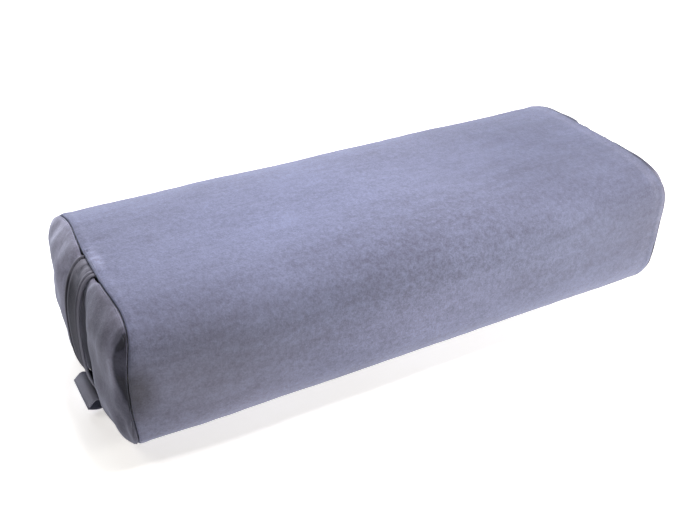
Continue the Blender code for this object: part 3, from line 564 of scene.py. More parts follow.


# The darkest factor that the zones of painted shade may bring a colour to.
DARKEST_PAINTED_SHADE = (0.14, 0.14, 0.14)
# Heights over which the painted shade towards the floor fades out.
PAINTED_LOW_SHADE_SPAN = (0.02, 0.15)
# Spans of a strap's painted highlights on its edges, rolls and root, and of the painted shade in its stitch grooves.
EDGE_HIGHLIGHT_SPAN = (0.0010, 0.0034)
GROOVE_SHADE_SPAN = (0.0003, 0.0016)
ROLL_HIGHLIGHT_SPAN = (0.0002, 0.0017)
ROLL_FROM_STITCH = 0.0029
ROOT_HIGHLIGHT_SPAN = (0.015, 0.046)
# A zone used only for its share, as a mask for livelier speckle; it paints no shade.
MIDDLE_OF_FRONT = Lie((0.02, -0.115, 0.12), (0.24, 0.13, 0.13))
# Zones of the wrap painted darker or lighter: painted shade, such as the dark line along the far end seam and the
# darker top towards the right end; painted highlights, such as the band inside that seam and the top beside the left
# strap's root; partly the nap lying another way.
WRAP_PAINTED_SHADE = (
    Lie((0.24, 0.0, 0.16), (0.24, 0.17, 0.06), (-0.29, -0.29, -0.26)),
    Lie((-0.10, 0.0, 0.16), (0.24, 0.14, 0.05), (0.11, 0.14, 0.18)),
    Lie((-0.02, -0.13, 0.08), (0.20, 0.05, 0.07), (0.20, 0.18, 0.18)),
    Lie((0.30, -0.12, 0.10), (0.15, 0.06, 0.09), (-0.21, -0.23, -0.23)),
    Lie((-0.20, -0.13, 0.03), (0.12, 0.05, 0.06), (0.15, 0.13, 0.12)),
    Lie((0.02, -0.13, 0.136), (0.22, 0.04, 0.026), (0.02, 0.02, 0.02)),
    Lie((-0.27, -0.13, 0.08), (0.20, 0.06, 0.10), (0.0, -0.05, -0.13)),
    Lie((-0.309, -0.128, 0.090), (0.030, 0.030, 0.050), (-0.54, -0.54, -0.54), 0.2),
    Lie((-0.304, -0.012, 0.158), (0.013, 0.026, 0.014), (0.50, 0.50, 0.46), 0.3),
    Lie((0.3085, 0.0, 0.172), (0.0058, 0.6, 0.040), (-0.62, -0.60, -0.62), 0.5),
    Lie((0.2970, 0.0, 0.166), (0.0080, 0.6, 0.06), (0.22, 0.21, 0.17), 0.2),
    Lie((0.3060, -0.135, 0.110), (0.0065, 0.05, 0.055), (0.30, 0.28, 0.22), 0.2),
)
# Zones of the end panels painted darker: painted shade in the left panel's front valley beside its seam, in the
# hollow beside its strap, and along the right panel's top shoulder, which faces away from the lamps.
END_PAINTED_SHADE = (
    Lie((-0.318, -0.1188, 0.118), (0.06, 0.0125, 0.058), (-0.70, -0.70, -0.68), 0.72),
    Lie((-0.318, -0.1090, 0.143), (0.06, 0.0085, 0.016), (-0.46, -0.46, -0.45), 0.4),
    Lie((-0.318, -0.1130, 0.074), (0.06, 0.0220, 0.046), (-0.30, -0.30, -0.29), 0.3),
    Lie((-0.325, -0.0660, 0.116), (0.06, 0.0520, 0.070), (-0.45, -0.45, -0.46), 0.40),
    Lie((-0.325, -0.0350, 0.090), (0.06, 0.0150, 0.070), (-0.26, -0.26, -0.25), 0.2),
    Lie((-0.330, -0.0400, 0.130), (0.06, 0.0220, 0.044), (-0.24, -0.24, -0.23), 0.2),
    Lie((0.3130, 0.0, 0.168), (0.016, 0.6, 0.022), (-0.64, -0.64, -0.62), 0.6),
)


@dataclass(frozen=True)
class Suede(Finish):
    """Brushed microfibre: broad patches where the nap lies over, short streaks, and a fine speckle."""

    light: Colour = paint(0.165, 0.179, 0.275)
    dark: Colour = paint(0.100, 0.103, 0.153)
    patch: float = 0.42
    streak: float = 0.30
    speckle: float = 0.62
    sheen: float = 0.35
    sheen_tint: Colour = paint(0.75, 0.80, 1.0)
    # Share of the tones kept low down, as painted shade towards the floor; 1 paints none.
    painted_low_shade: float = 1.0
    # Colour of a strap's painted highlights.
    painted_highlight: Colour = paint(0.17, 0.17, 0.21)
    strip_half: float = 0.0
    strip_middle: float = 0.0
    stitch_inset: float = 0.0050
    stroke_run: tuple[float, float, float] = (0.35, 1.6, 1.6)
    lie: tuple[Lie, ...] = ()
    vivid: float = 0.0

    def make(self, graph: Graph) -> None:
        """Colour = mix(dark, light, 0.5 + patches + streaks + speckle), each noise taken about its mean.

        Where asked, the tones are darkened towards the floor as painted shade. A strap then gets painted highlights
        along its edges, rolls and root and painted shade in its stitch grooves, and the zones of painted shade and
        painted highlight are laid over it.

        Args:
            graph: The empty material to fill.
        """
        patches = graph.noise(17.0, detail=3.0, rough=0.55, stretch=(0.45, 1.0, 1.0)) - 0.5
        strokes = graph.noise(60.0, detail=3.0, rough=0.6, stretch=self.stroke_run) - 0.5
        grain = graph.noise(620.0, rough=0.7) - 0.5
        coarse = graph.noise(210.0, rough=0.6) - 0.5
        share = 0.5 + patches * (2.6 * self.patch) + strokes * (2.2 * self.streak)
        speckle = (grain + coarse * 0.8) * (2.0 * self.speckle)
        if self.vivid:
            speckle = speckle * (MIDDLE_OF_FRONT.share(graph) * self.vivid + 1.0)
        share = (share + speckle).clamped()
        colour = graph.mix(share, self.dark, self.light)
        # Painted shade: the tones are darkened towards the floor, as the lower part of an end panel falls in shade.
        if self.painted_low_shade < 1.0:
            low = graph.mix(share, shaded(self.dark, self.painted_low_shade), shaded(self.light, self.painted_low_shade))
            colour = graph.mix(graph.split(graph.places())[2].step(*PAINTED_LOW_SHADE_SPAN), low, colour)
        # A strap gets painted highlights and painted shade in its stitch grooves.
        if self.strip_half:
            colour = self.painted_highlights_and_groove_shade(graph, colour, strokes)
        # Painted shade and painted highlight: each zone multiplies the colour by 1 plus its change times its share,
        # held above the darkest factor.
        if self.lie:
            tone = (1.0, 1.0, 1.0)
            for place in self.lie:
                tone = graph.vector("ADD", tone, graph.vector("SCALE", place.change, Scale=place.share(graph)))
            tone = graph.vector("MAXIMUM", tone, DARKEST_PAINTED_SHADE)
            colour = graph.vector("MULTIPLY", colour, tone)
        graph.bump(grain + coarse * 0.6 + strokes * 1.2, distance=0.00045, strength=0.6)
        graph.dress(Base_Color=colour, Roughness=(0.93 - grain * 0.25).clamped(), Sheen_Weight=self.sheen,
                    Sheen_Roughness=0.45, Sheen_Tint=self.sheen_tint, Specular_IOR_Level=0.12)

    def painted_highlights_and_groove_shade(self, graph: Graph, colour: Port, strokes: Port) -> Port:
        """Paint highlights on a strap along its folded edges, its rolls and near its top root, where light catches
        them, and paint shade along its stitch grooves.

        Every band is 1 - step(distance from its line).

        Args:
            graph: The material's nodes.
            colour: The plain suede.
            strokes: The noise of its nap.

        Returns:
            The colour with its painted highlights and painted shade.
        """
        across, along = graph.cloth_places()
        inward = self.strip_half - (across - self.strip_middle).absolute()
        # Painted highlight on the folded edges, then painted shade in the stitch grooves and painted highlight on
        # the rolls.
        painted_highlight = 1.0 - inward.step(*EDGE_HIGHLIGHT_SPAN)
        sewn = 1.0 - (inward - self.stitch_inset).absolute().step(*GROOVE_SHADE_SPAN)
        beside = 1.0 - (inward - (self.stitch_inset + ROLL_FROM_STITCH)).absolute().step(*ROLL_HIGHLIGHT_SPAN)
        # Painted highlight near the top root, which light from above falls on.
        root = 1.0 - along.step(*ROOT_HIGHLIGHT_SPAN)
        # The whole share of painted highlight.
        worn = painted_highlight * 1.05 + beside * 0.45 + root * (strokes * 2.6 + 0.7)
        colour = graph.mix(worn.clamped(), colour, self.painted_highlight)
        # Painted shade along the stitch grooves.
        return graph.mix(sewn * 0.8, colour, shaded(self.dark, 0.4))


@dataclass(frozen=True)
class Ribbed(Finish):
    """Woven tape: ribs across it, and finer threads along it."""

    light: Colour = paint(0.40, 0.41, 0.50)
    dark: Colour = paint(0.22, 0.22, 0.29)
    rib: float = 0.0009
    thread: float = 0.0006
    sheen: float = 0.1

    def make(self, graph: Graph) -> None:
        """Height = 0.4 |sin(pi across / thread)| + 0.6 |sin(pi along / rib)|, from the tape's own map.

        Args:
            graph: The empty material to fill.
        """
        across, along = graph.cloth_places()
        wear = graph.noise(90.0, detail=3.0, rough=0.6)
        weave = across.ribs(self.thread) * 0.4 + along.ribs(self.rib) * 0.6
        share = weave * 0.55 + wear * 0.45
        graph.bump(weave, distance=0.0003, strength=0.7)
        graph.dress(Base_Color=graph.mix(share.clamped(), self.dark, self.light), Roughness=0.8,
                    Sheen_Weight=self.sheen, Specular_IOR_Level=0.2)


@dataclass(frozen=True)
class Thread(Finish):
    """Twisted sewing thread."""

    colour: Colour = paint(0.17, 0.17, 0.24)

    def make(self, graph: Graph) -> None:
        """Colour varies a little from stitch to stitch.

        Args:
            graph: The empty material to fill.
        """
        uneven = graph.noise(900.0, detail=1.0)
        colour = graph.mix(uneven, self.colour, shaded(self.colour, 1.5))
        graph.dress(Base_Color=colour, Roughness=0.6, Sheen_Weight=0.2)


@dataclass(frozen=True)
class Moulded(Finish):
    """Moulded plastic with a slight unevenness."""

    colour: Colour = paint(0.10, 0.10, 0.16)
    gloss: float = 0.38

    def make(self, graph: Graph) -> None:
        """Roughness and bump from two fine noises.

        Args:
            graph: The empty material to fill.
        """
        fine = graph.noise(1400.0, rough=0.6)
        broad = graph.noise(260.0)
        colour = graph.mix(broad, self.colour, shaded(self.colour, 1.35))
        graph.bump(fine, distance=0.00006, strength=0.4)
        graph.dress(Base_Color=colour, Roughness=fine * 0.14 + self.gloss)


@dataclass(frozen=True)
class Enamel(Finish):
    """Thin dark enamel on a die-cast slider, with brighter metal where it rubs."""

    colour: Colour = paint(0.12, 0.12, 0.14)
    metal: Colour = paint(0.42, 0.42, 0.44)

    def make(self, graph: Graph) -> None:
        """Metal shows where a coarse noise passes a level.

        Args:
            graph: The empty material to fill.
        """
        worn = graph.noise(420.0, detail=3.0, rough=0.65).step(0.62, 0.76)
        fine = graph.noise(2200.0, detail=1.0)
        graph.bump(fine, distance=0.00004, strength=0.3)
        graph.dress(Base_Color=graph.mix(worn, self.colour, self.metal), Metallic=worn * 0.5 + 0.45,
                    Roughness=fine * 0.12 + 0.26)


@dataclass(frozen=True)
class PlainCotton(Finish):
    """Plain unbleached cotton with its square weave."""

    light: Colour = paint(0.78, 0.75, 0.67)
    dark: Colour = paint(0.58, 0.55, 0.47)
    pitch: float = 0.0011

    def make(self, graph: Graph) -> None:
        """Height = (|sin(pi across / pitch)| + |sin(pi along / pitch)| + slubs) / 2, from the cloth's own map.

        Args:
            graph: The empty material to fill.
        """
        across, along = graph.cloth_places()
        weave = across.ribs(self.pitch) * 0.5 + along.ribs(self.pitch) * 0.5
        slub = graph.noise(260.0, detail=3.0, rough=0.6, stretch=(0.2, 1.0, 1.0))
        graph.bump(weave + slub * 0.5, distance=0.0003, strength=0.6)
        share = (weave * 0.5 + slub * 0.5).clamped()
        graph.dress(Base_Color=graph.mix(share, self.dark, self.light), Roughness=0.9, Sheen_Weight=0.1)


@dataclass(frozen=True)
class Fibre(Finish):
    """Loose polyester batting: matted fibres."""

    def make(self, graph: Graph) -> None:
        """Fibres are a fine noise stretched along X, on clumps of a broad one.

        Args:
            graph: The empty material to fill.
        """
        tangle = graph.noise(700.0, detail=4.0, rough=0.75, stretch=(0.25, 1.0, 1.0))
        clumps = graph.noise(70.0, detail=3.0, rough=0.6)
        graph.bump(tangle + clumps * 2.0, distance=0.0009, strength=0.7)
        share = (tangle * 0.6 + clumps * 0.4).clamped()
        colour = graph.mix(share, paint(0.62, 0.61, 0.57), paint(0.90, 0.89, 0.86))
        graph.dress(Base_Color=colour, Roughness=1.0, Sheen_Weight=0.3)


@dataclass(frozen=True)
class CutFoam(Finish):
    """Cut polyurethane foam: open cells."""

    def make(self, graph: Graph) -> None:
        """Cells are the distance to the nearest of a scatter of points.

        Args:
            graph: The empty material to fill.
        """
        cells = graph.node("ShaderNodeTexVoronoi", {}, {"Vector": graph.places(), "Scale": 700.0})["Distance"]
        age = graph.noise(14.0, detail=3.0, rough=0.6)
        graph.bump(cells, distance=0.0006, strength=0.8)
        share = (cells * 0.6 + age * 0.6).clamped()
        colour = graph.mix(share, paint(0.60, 0.52, 0.30), paint(0.86, 0.80, 0.58))
        graph.dress(Base_Color=colour, Roughness=0.95)


@dataclass(frozen=True)
class Ground(Finish):
    """A plain white studio floor."""

    glow: float = 0.58

    def make(self, graph: Graph) -> None:
        """White paper with a faint unevenness and a little light of its own.

        Args:
            graph: The empty material to fill.
        """
        grain = graph.noise(3.0)
        colour = graph.mix(grain, paint(0.93, 0.93, 0.93), paint(0.96, 0.96, 0.96))
        graph.dress(Base_Color=colour, Roughness=0.9, Emission_Color=paint(1.0, 0.97, 0.93),
                    Emission_Strength=self.glow, Specular_IOR_Level=0.0)


SUEDE = Suede("brushed_suede", patch=0.38, speckle=0.68, lie=WRAP_PAINTED_SHADE, vivid=0.45)
# The end panels are the wrap's suede with lighter tones, as painted light where the lamps leave their lobes too
# dark, and with painted shade towards the floor.
SUEDE_END = Suede("brushed_suede_end", light=paint(0.252, 0.250, 0.332), dark=paint(0.142, 0.140, 0.187),
                  patch=0.55, streak=0.55, painted_low_shade=0.42, speckle=0.5, stroke_run=(1.5, 2.2, 0.35), lie=END_PAINTED_SHADE)
# The straps are the same suede with far darker tones, as painted shade on straps that face away from the lamps.
SHADED_STRAP_LIGHT, SHADED_STRAP_DARK = paint(0.027, 0.026, 0.035), paint(0.014, 0.0135, 0.019)
SUEDE_STRAPS = {
    end: Suede(f"brushed_suede_strap_{end.label}", light=SHADED_STRAP_LIGHT, dark=SHADED_STRAP_DARK, patch=0.2, sheen=0.12,
               strip_half=0.019, strip_middle=middle)
    for end, middle in ((End.LEFT, -0.010), (End.RIGHT, 0.0))
}
TAB_TAPE = Ribbed("tab_tape")
ZIP_TAPE = Ribbed("zip_tape_weave", light=paint(0.15, 0.15, 0.23), dark=paint(0.07, 0.07, 0.12), rib=0.0007,
                  thread=0.0012)
SEAM_THREAD = Thread("seam_thread")
TEETH = Moulded("zip_teeth_plastic")
METAL = Enamel("zip_enamel")
COTTON = PlainCotton("liner_weave")
FIBRE = Fibre("batting_fibre")
FOAM = CutFoam("foam_cells")
GROUND = Ground("studio_paper")


# ---- cloth simulation ----


@dataclass(frozen=True)
class Settle:
    """How a sewn cloth is left to find its folds: it is a little too large for its seams and lies on
    soft springs that hold it near the stuffed form."""

    ease: float = 0.03
    pressure: float = 1.0
    hold: float = 0.5
    quality: int = 6
    frames: int = 20
    cap: float = 0.004
    mass: float = 0.25
    tension: float = 12.0
    bending: float = 0.6
    broad_left: float = 0.0
    broad_passes: int = 40
    soften_passes: int = 2

    @staticmethod
    def averaged(shift: Array, passes: int) -> Array:
        """Each point takes (before + 2 here + after) / 4 along rows and columns, as often as asked.

        Args:
            shift: A grid of vectors.
            passes: How many times both ways are averaged.

        Returns:
            The smoother grid.
        """
        smooth = shift
        for _ in range(passes):
            for axis in (0, 1):
                wide = np.pad(smooth, [(1, 1) if a == axis else (0, 0) for a in range(3)], mode="edge")
                before = np.take(wide, range(0, wide.shape[axis] - 2), axis)
                after = np.take(wide, range(2, wide.shape[axis]), axis)
                smooth = (before + 2 * smooth + after) / 4
        return smooth

    def cloth(self, points: Array, pins: Array) -> bpy.types.Object:
        """Lay a grid of points as a sheet of cloth.

        Args:
            points: A grid of rows and columns of points.
            pins: How firmly each point is held, where 1 doesn't move.

        Returns:
            The sheet, ready to run.
        """
        mesh = bpy.data.meshes.new("settling")
        mesh.from_pydata(points.reshape(-1, 3), [], quads(*points.shape[:2]))
        item = bpy.data.objects.new("settling", mesh)
        bpy.context.scene.collection.objects.link(item)
        group = item.vertex_groups.new(name="held")
        holds = np.round(pins.ravel(), 2)
        for level in np.unique(holds):
            group.add(np.flatnonzero(holds == level).tolist(), float(level), "REPLACE")
        sheet = item.modifiers.new("cloth", "CLOTH")
        settings = {
            "quality": self.quality, "mass": self.mass, "tension_stiffness": self.tension,
            "compression_stiffness": self.tension, "shear_stiffness": self.tension / 2,
            "bending_stiffness": self.bending, "vertex_group_mass": group.name, "pin_stiffness": self.hold,
            "shrink_min": -self.ease, "use_pressure": True, "uniform_pressure_force": self.pressure,
        }
        for key, value in settings.items():
            setattr(sheet.settings, key, value)
        sheet.settings.effector_weights.gravity = 0.0
        sheet.collision_settings.use_collision = False
        sheet.point_cache.frame_start = 1
        sheet.point_cache.frame_end = self.frames
        return item

    def moved(self, points: Array, pins: Array) -> Array:
        """How far each point of a grid moves when it is left to settle, smoothed and capped.

        Args:
            points: A grid of rows and columns of points.
            pins: How firmly each point is held, where 1 doesn't move.

        Returns:
            Displacements on the same grid, none longer than the cap.
        """
        item, scene = self.cloth(points, pins), bpy.context.scene
        for number in range(1, self.frames + 1):
            scene.frame_set(number)
        done = item.evaluated_get(bpy.context.evaluated_depsgraph_get())
        ended = np.empty(points.size, dtype=np.float32)
        done.data.vertices.foreach_get("co", ended)
        mesh = item.data
        bpy.data.objects.remove(item, do_unlink=True)
        bpy.data.meshes.remove(mesh)
        scene.frame_set(1)
        shift = ended.reshape(points.shape).astype(float) - points
        shift = self.averaged(shift, self.soften_passes)
        shift = shift - (1 - self.broad_left) * self.averaged(shift, self.broad_passes)
        length = np.linalg.norm(shift, axis=-1, keepdims=True)
        return shift * np.minimum(1.0, self.cap / np.maximum(length, 1e-9))


def finer(values: Array, rows: Array, columns: Array) -> Array:
    """Read a coarse grid at fractional rows and columns, by Catmull-Rom curves both ways.

    Args:
        values: The coarse grid, with one vector a point.
        rows: Fractional rows, one a new row.
        columns: Fractional columns, one a new column.

    Returns:
        A grid of len(rows) by len(columns) vectors.
    """
    def curve(data: Array, places: Array) -> Array:
        """Start + t/2 (slope + t (bend + t turn)) between two neighbours, along the first axis.

        Args:
            data: Values by row.
            places: Fractional rows.

        Returns:
            One value a place.
        """
        last = len(data) - 1
        low = np.clip(np.floor(places).astype(int), 0, last - 1)
        t = (places - low).reshape(-1, *([1] * (data.ndim - 1)))
        before, after = data[np.maximum(low - 1, 0)], data[np.minimum(low + 2, last)]
        start, end = data[low], data[low + 1]
        slope = end - before
        bend = 2 * before - 5 * start + 4 * end - after
        turn = 3 * start - before - 3 * end + after
        return start + 0.5 * t * (slope + t * (bend + t * turn))

    halfway = curve(values, rows)
    return np.swapaxes(curve(np.swapaxes(halfway, 0, 1), columns), 0, 1)


def read_between(values: Array, coarse: tuple[Array, Array], fine: tuple[Array, Array]) -> Array:
    """Read a coarse grid at the rows and columns of a finer one, all given on the same scales."""
    return finer(values, *(np.interp(new, old, np.arange(len(old))) for old, new in zip(coarse, fine)))


# ---- the sewn cover ----


@dataclass
class Grip:
    """Sizes of a carry handle and of where its tails go into the seams.

    It bows out by the cosine of an even turn raised to twice its fall, which changes below mid-height.
    """

    end: End
    shift: float
    width: float = 0.038
    thickness: float = 0.0026
    bow: float = 0.0209
    standoff: float = 0.0023
    power: float = 2.6
    fall: float = 0.6
    low_fall: float = 1.02
    tail: float = 0.010
    stitch_inset: float = 0.0050
    pucker: float = 1.0


LEFT_GRIP = Grip(End.LEFT, -0.010)
RIGHT_GRIP = Grip(End.RIGHT, 0.0, pucker=0.15)
TAB_HALF = 0.023
TAB_SHIFT = -0.005
TAB_ROOM = 0.0029
VALLEY_SHARE = 0.6
VALLEY_WIDTH = 0.030


@dataclass
class Wrap:
    """The suede sleeve that goes round the insert, open along the zip and turned in at both end seams."""

    form: StuffedForm
    rows: int = 176
    columns: int = 236
    crowd: float = 0.55
    edge: float = 0.0017
    edge_steps: int = 6
    tuck: float = 0.0045
    zip_half: float = 0.2775
    slit: float = 0.0062
    slit_shut: float = 0.0009
    slit_taper: float = 0.010
    wall: float = 0.0009
    broad: Waves = Waves(3, 0.30, 0.09)
    broad_rise: float = 0.00045
    small: Waves = Waves(5, 0.05, 0.022)
    small_rise: float = 0.00012
    gathers: Waves = Waves(7, 0.030, 0.012)
    gather_rise: float = 0.00032
    gather_reach: float = 0.011
    roll_rise: float = 0.0006
    roll_inset: float = 0.0055
    roll_width: float = 0.004
    pucker_rise: float = 0.0015
    pucker_pitch: float = 0.0088
    pucker_reach: float = 0.008
    pucker_half: float = 0.016
    pucker_fade: float = 0.010
    pucker_rim: tuple[float, float] = (0.0005, 0.002)
    pucker_wander: float = 2.0
    wander_along: float = 90.0
    wander_across: float = 160.0
    lift_rise: float = 0.0016
    lift_reach: float = 0.012
    zip_wave_rise: float = 0.00035
    zip_wave_pitch: float = 0.034
    zip_wave_wander: float = 1.7
    zip_wave_turn: float = 23.0
    zip_wave_band: tuple[float, float] = (0.015, 0.008)
    zip_still: tuple[float, float] = (0.012, 0.016)
    floor_still: tuple[float, float] = (0.002, 0.014)
    coarse_rows: int = 110
    coarse_columns: int = 124
    free_hold: float = 0.35
    pinned_height: float = 0.004
    settle: Settle = Settle(ease=0.0, pressure=1.2, hold=0.6, cap=0.0010, frames=14, bending=6.0, broad_left=0.6,
                            soften_passes=8)

    def edge_profile(self) -> tuple[Array, Array]:
        """A cloth edge rolled over into its seam: a quarter circle, then a straight tuck.

        Returns:
            Distances outwards from where the roll starts, and depths.
        """
        turn = np.linspace(0, math.pi / 2, self.edge_steps)
        out = np.append(self.edge * np.sin(turn), [self.edge * 0.9, self.edge * 0.8])
        return out, np.append(self.edge * (1 - np.cos(turn)), [self.edge * 1.8, self.tuck])

    def slit_half(self, x: Array) -> Array:
        """Half the width of the slit: open along the zip, and sewn shut past it."""
        share = eased_in(np.abs(x), self.zip_half, self.slit_taper)
        return self.slit + (self.slit_shut - self.slit) * share

    def puckers(self, x: Array, y: Array, to_seam: Array) -> Array:
        """Short puckers and a lift of the cloth where the handles are sewn in.

        Height = window (ripple exp(-distance / reach) + lift exp(-distance / its reach)), where the window
        is as wide as the strap and the ripple is a cosine whose phase wanders.

        Args:
            x: Places along the bolster.
            y: Places across it.
            to_seam: Distances from the end seam.

        Returns:
            Heights out of the plain form.
        """
        total = 0.0
        for grip in (LEFT_GRIP, RIGHT_GRIP):
            here = grip.pucker * (np.sign(x) == grip.end.value) * eased_in(to_seam, *self.pucker_rim)
            window = eased_out(np.abs(y - grip.shift), self.pucker_half, self.pucker_fade)
            phase = 2 * math.pi * (y - grip.shift) / self.pucker_pitch
            wander = self.pucker_wander * np.sin(y * self.wander_across + x * self.wander_along)
            ripple = np.cos(phase + wander)
            lift = self.lift_rise * window * np.exp(-to_seam / self.lift_reach)
            total = total + here * (self.pucker_rise * window * ripple * np.exp(-to_seam / self.pucker_reach) + lift)
        return total

    def zip_wave(self, x: Array, y: Array, from_line: Array) -> Array:
        """The hems ripple beside the zip: a sine along X whose phase wanders, times a bell about the hem.

        Args:
            x: Places along the bolster.
            y: Places across it.
            from_line: Distances from the zip line.

        Returns:
            Heights out of the plain form.
        """
        phase = 2 * math.pi * x / self.zip_wave_pitch + self.zip_wave_wander * np.sin(x * self.zip_wave_turn)
        wave = self.zip_wave_rise * np.sin(phase) * hump(from_line, *self.zip_wave_band)
        return np.where((y > 0) & (np.abs(x) < self.zip_half), wave, 0.0)

    def relief(self, x: Array, arc: Array) -> Array:
        """How far the cloth stands out of the plain form.

        Broad waves, plus gathers at the end seams that fall off as exp(-distance / reach), plus a roll and
        puckers at the seams, all faded out on the floor, and the waves beside the zip too.

        Args:
            x: Places along the bolster.
            arc: Lengths round the section.

        Returns:
            Heights out of the plain form.
        """
        form = self.form
        y, z = form.read("y", arc), form.read("z", arc)
        to_seam = form.half - np.abs(x)
        waves = self.broad_rise * self.broad(x, arc) + self.small_rise * self.small(x, arc)
        along_seam = self.gathers(arc, 0 * arc + np.sign(x) * 3.0)
        gather = self.gather_rise * along_seam * np.exp(-to_seam / self.gather_reach)
        roll = self.roll_rise * hump(to_seam, self.roll_inset, self.roll_width)
        from_line = np.abs(z - form.middle)
        near_zip = np.where(y > 0, eased_out(from_line, *self.zip_still), 0.0)
        on_top = eased_in(z, *self.floor_still)
        relief = waves * (1 - near_zip) + gather + roll + self.puckers(x, y, to_seam)
        return on_top * relief + self.zip_wave(x, y, from_line)

    def coordinates(self, rows: Array, columns: Array) -> tuple[Array, Array]:
        """Places along and round for a grid, between the hem rolls.

        Args:
            rows: Shares along the bolster, from -1 to 1.
            columns: Shares round the section, from -1 to 1.

        Returns:
            x and length round, as grids.
        """
        x = rows * (self.form.half - self.edge)
        gap = self.slit_half(x) + self.edge
        low, high = self.form.above_zip(gap), self.form.below_zip(gap)
        arc = low[:, None] + (high - low)[:, None] * (columns[None, :] + 1) / 2
        return np.broadcast_to(x[:, None], arc.shape), arc

    def settled(self, rows: Array, columns: Array) -> Array:
        """Displacements from the cloth simulation, read at the fine grid's rows and columns.

        Args:
            rows: Shares along the first axis of the grid, from -1 to 1.
            columns: Shares along the second.

        Returns:
            One vector a place.
        """
        coarse = spaced(self.coarse_rows, self.crowd), spaced(self.coarse_columns)
        x, arc = self.coordinates(*coarse)
        pins = np.full(x.shape, self.free_hold)
        pins[[0, -1]] = 1.0
        pins[:, [0, -1]] = 1.0
        pins[self.form.read("z", arc) < self.pinned_height] = 1.0
        moved = self.settle.moved(self.form.at(x, arc), pins)
        return read_between(moved, coarse, (rows, columns))

    def points(self) -> tuple[Array, Array, Array]:
        """The whole sheet: the body grid with hem rolls on all four sides.

        Returns:
            Points, and the two cloth coordinates in metres.
        """
        rows, columns = spaced(self.rows, self.crowd), spaced(self.columns)
        out, depth = self.edge_profile()
        pad = len(out)
        past_ends, past_hems = (np.concatenate([-out[::-1], np.zeros(n), out]) for n in (self.rows, self.columns))
        end_depth, hem_depth = (np.concatenate([depth[::-1], np.zeros(n), depth]) for n in (self.rows, self.columns))
        x, arc = (np.pad(values, pad, mode="edge") for values in self.coordinates(rows, columns))
        x, arc = x + past_ends[:, None], arc + past_hems
        reach = np.hypot(end_depth[:, None], hem_depth)
        points = self.form.at(x, arc, reach - self.relief(x, arc))
        points = points + np.pad(self.settled(rows, columns), ((pad, pad), (pad, pad), (0, 0)), mode="edge")
        points[..., 2] = np.maximum(points[..., 2], 0.0)
        return points, x, arc

    def build(self) -> bpy.types.Object:
        """Lay the sheet, give it its wall and carry it.

        Returns:
            The cover's wrap.
        """
        points, x, arc = self.points()
        rows, columns = points.shape[:2]
        item = lay_mesh("cover_wrap_cloth", points, quads(rows, columns), SUEDE)
        add_uv(item, x, arc)
        thicken(item, self.wall)
        return carried(item, "suede", "cover_wrap")


@dataclass(frozen=True)
class Fold:
    """A soft fold of an end panel, along the line y = place + lean (z - level) + waver sin(turn z).

    It fades in upwards from its foot, and out again from its head.
    """

    place: float
    width: float
    depth: float
    foot: tuple[float, float]
    head: tuple[float, float]
    lean: float = 0.0
    level: float = 0.0
    waver: float = 0.0
    turn: float = 0.0

    def relief(self, y: Array, z: Array) -> Array:
        """The depth times a bell across the line, faded at both ends."""
        away = y - self.place - self.lean * (z - self.level) - self.waver * np.sin(z * self.turn)
        return self.depth * (hump(away, 0.0, self.width) * eased_in(z, *self.foot) * eased_out(z, *self.head))


SEAM_FOLD = Fold(-0.1172, 0.0070, 0.0070, (0.036, 0.030), (0.142, 0.012), waver=0.0006, turn=90)
LOW_FOLD = Fold(-0.1045, 0.0070, 0.0026, (0.018, 0.02), (0.046, 0.03), lean=0.14, level=0.05)
SEAM_RIDGE = Fold(-0.1056, 0.0036, 0.0003, (0.082, 0.03), (0.134, 0.014), lean=0.04, level=0.12)
SECOND_FOLD = Fold(-0.0770, 0.0042, 0.0005, (0.085, 0.03), (0.136, 0.016), lean=-0.12, level=0.12, waver=0.002,
                   turn=130)


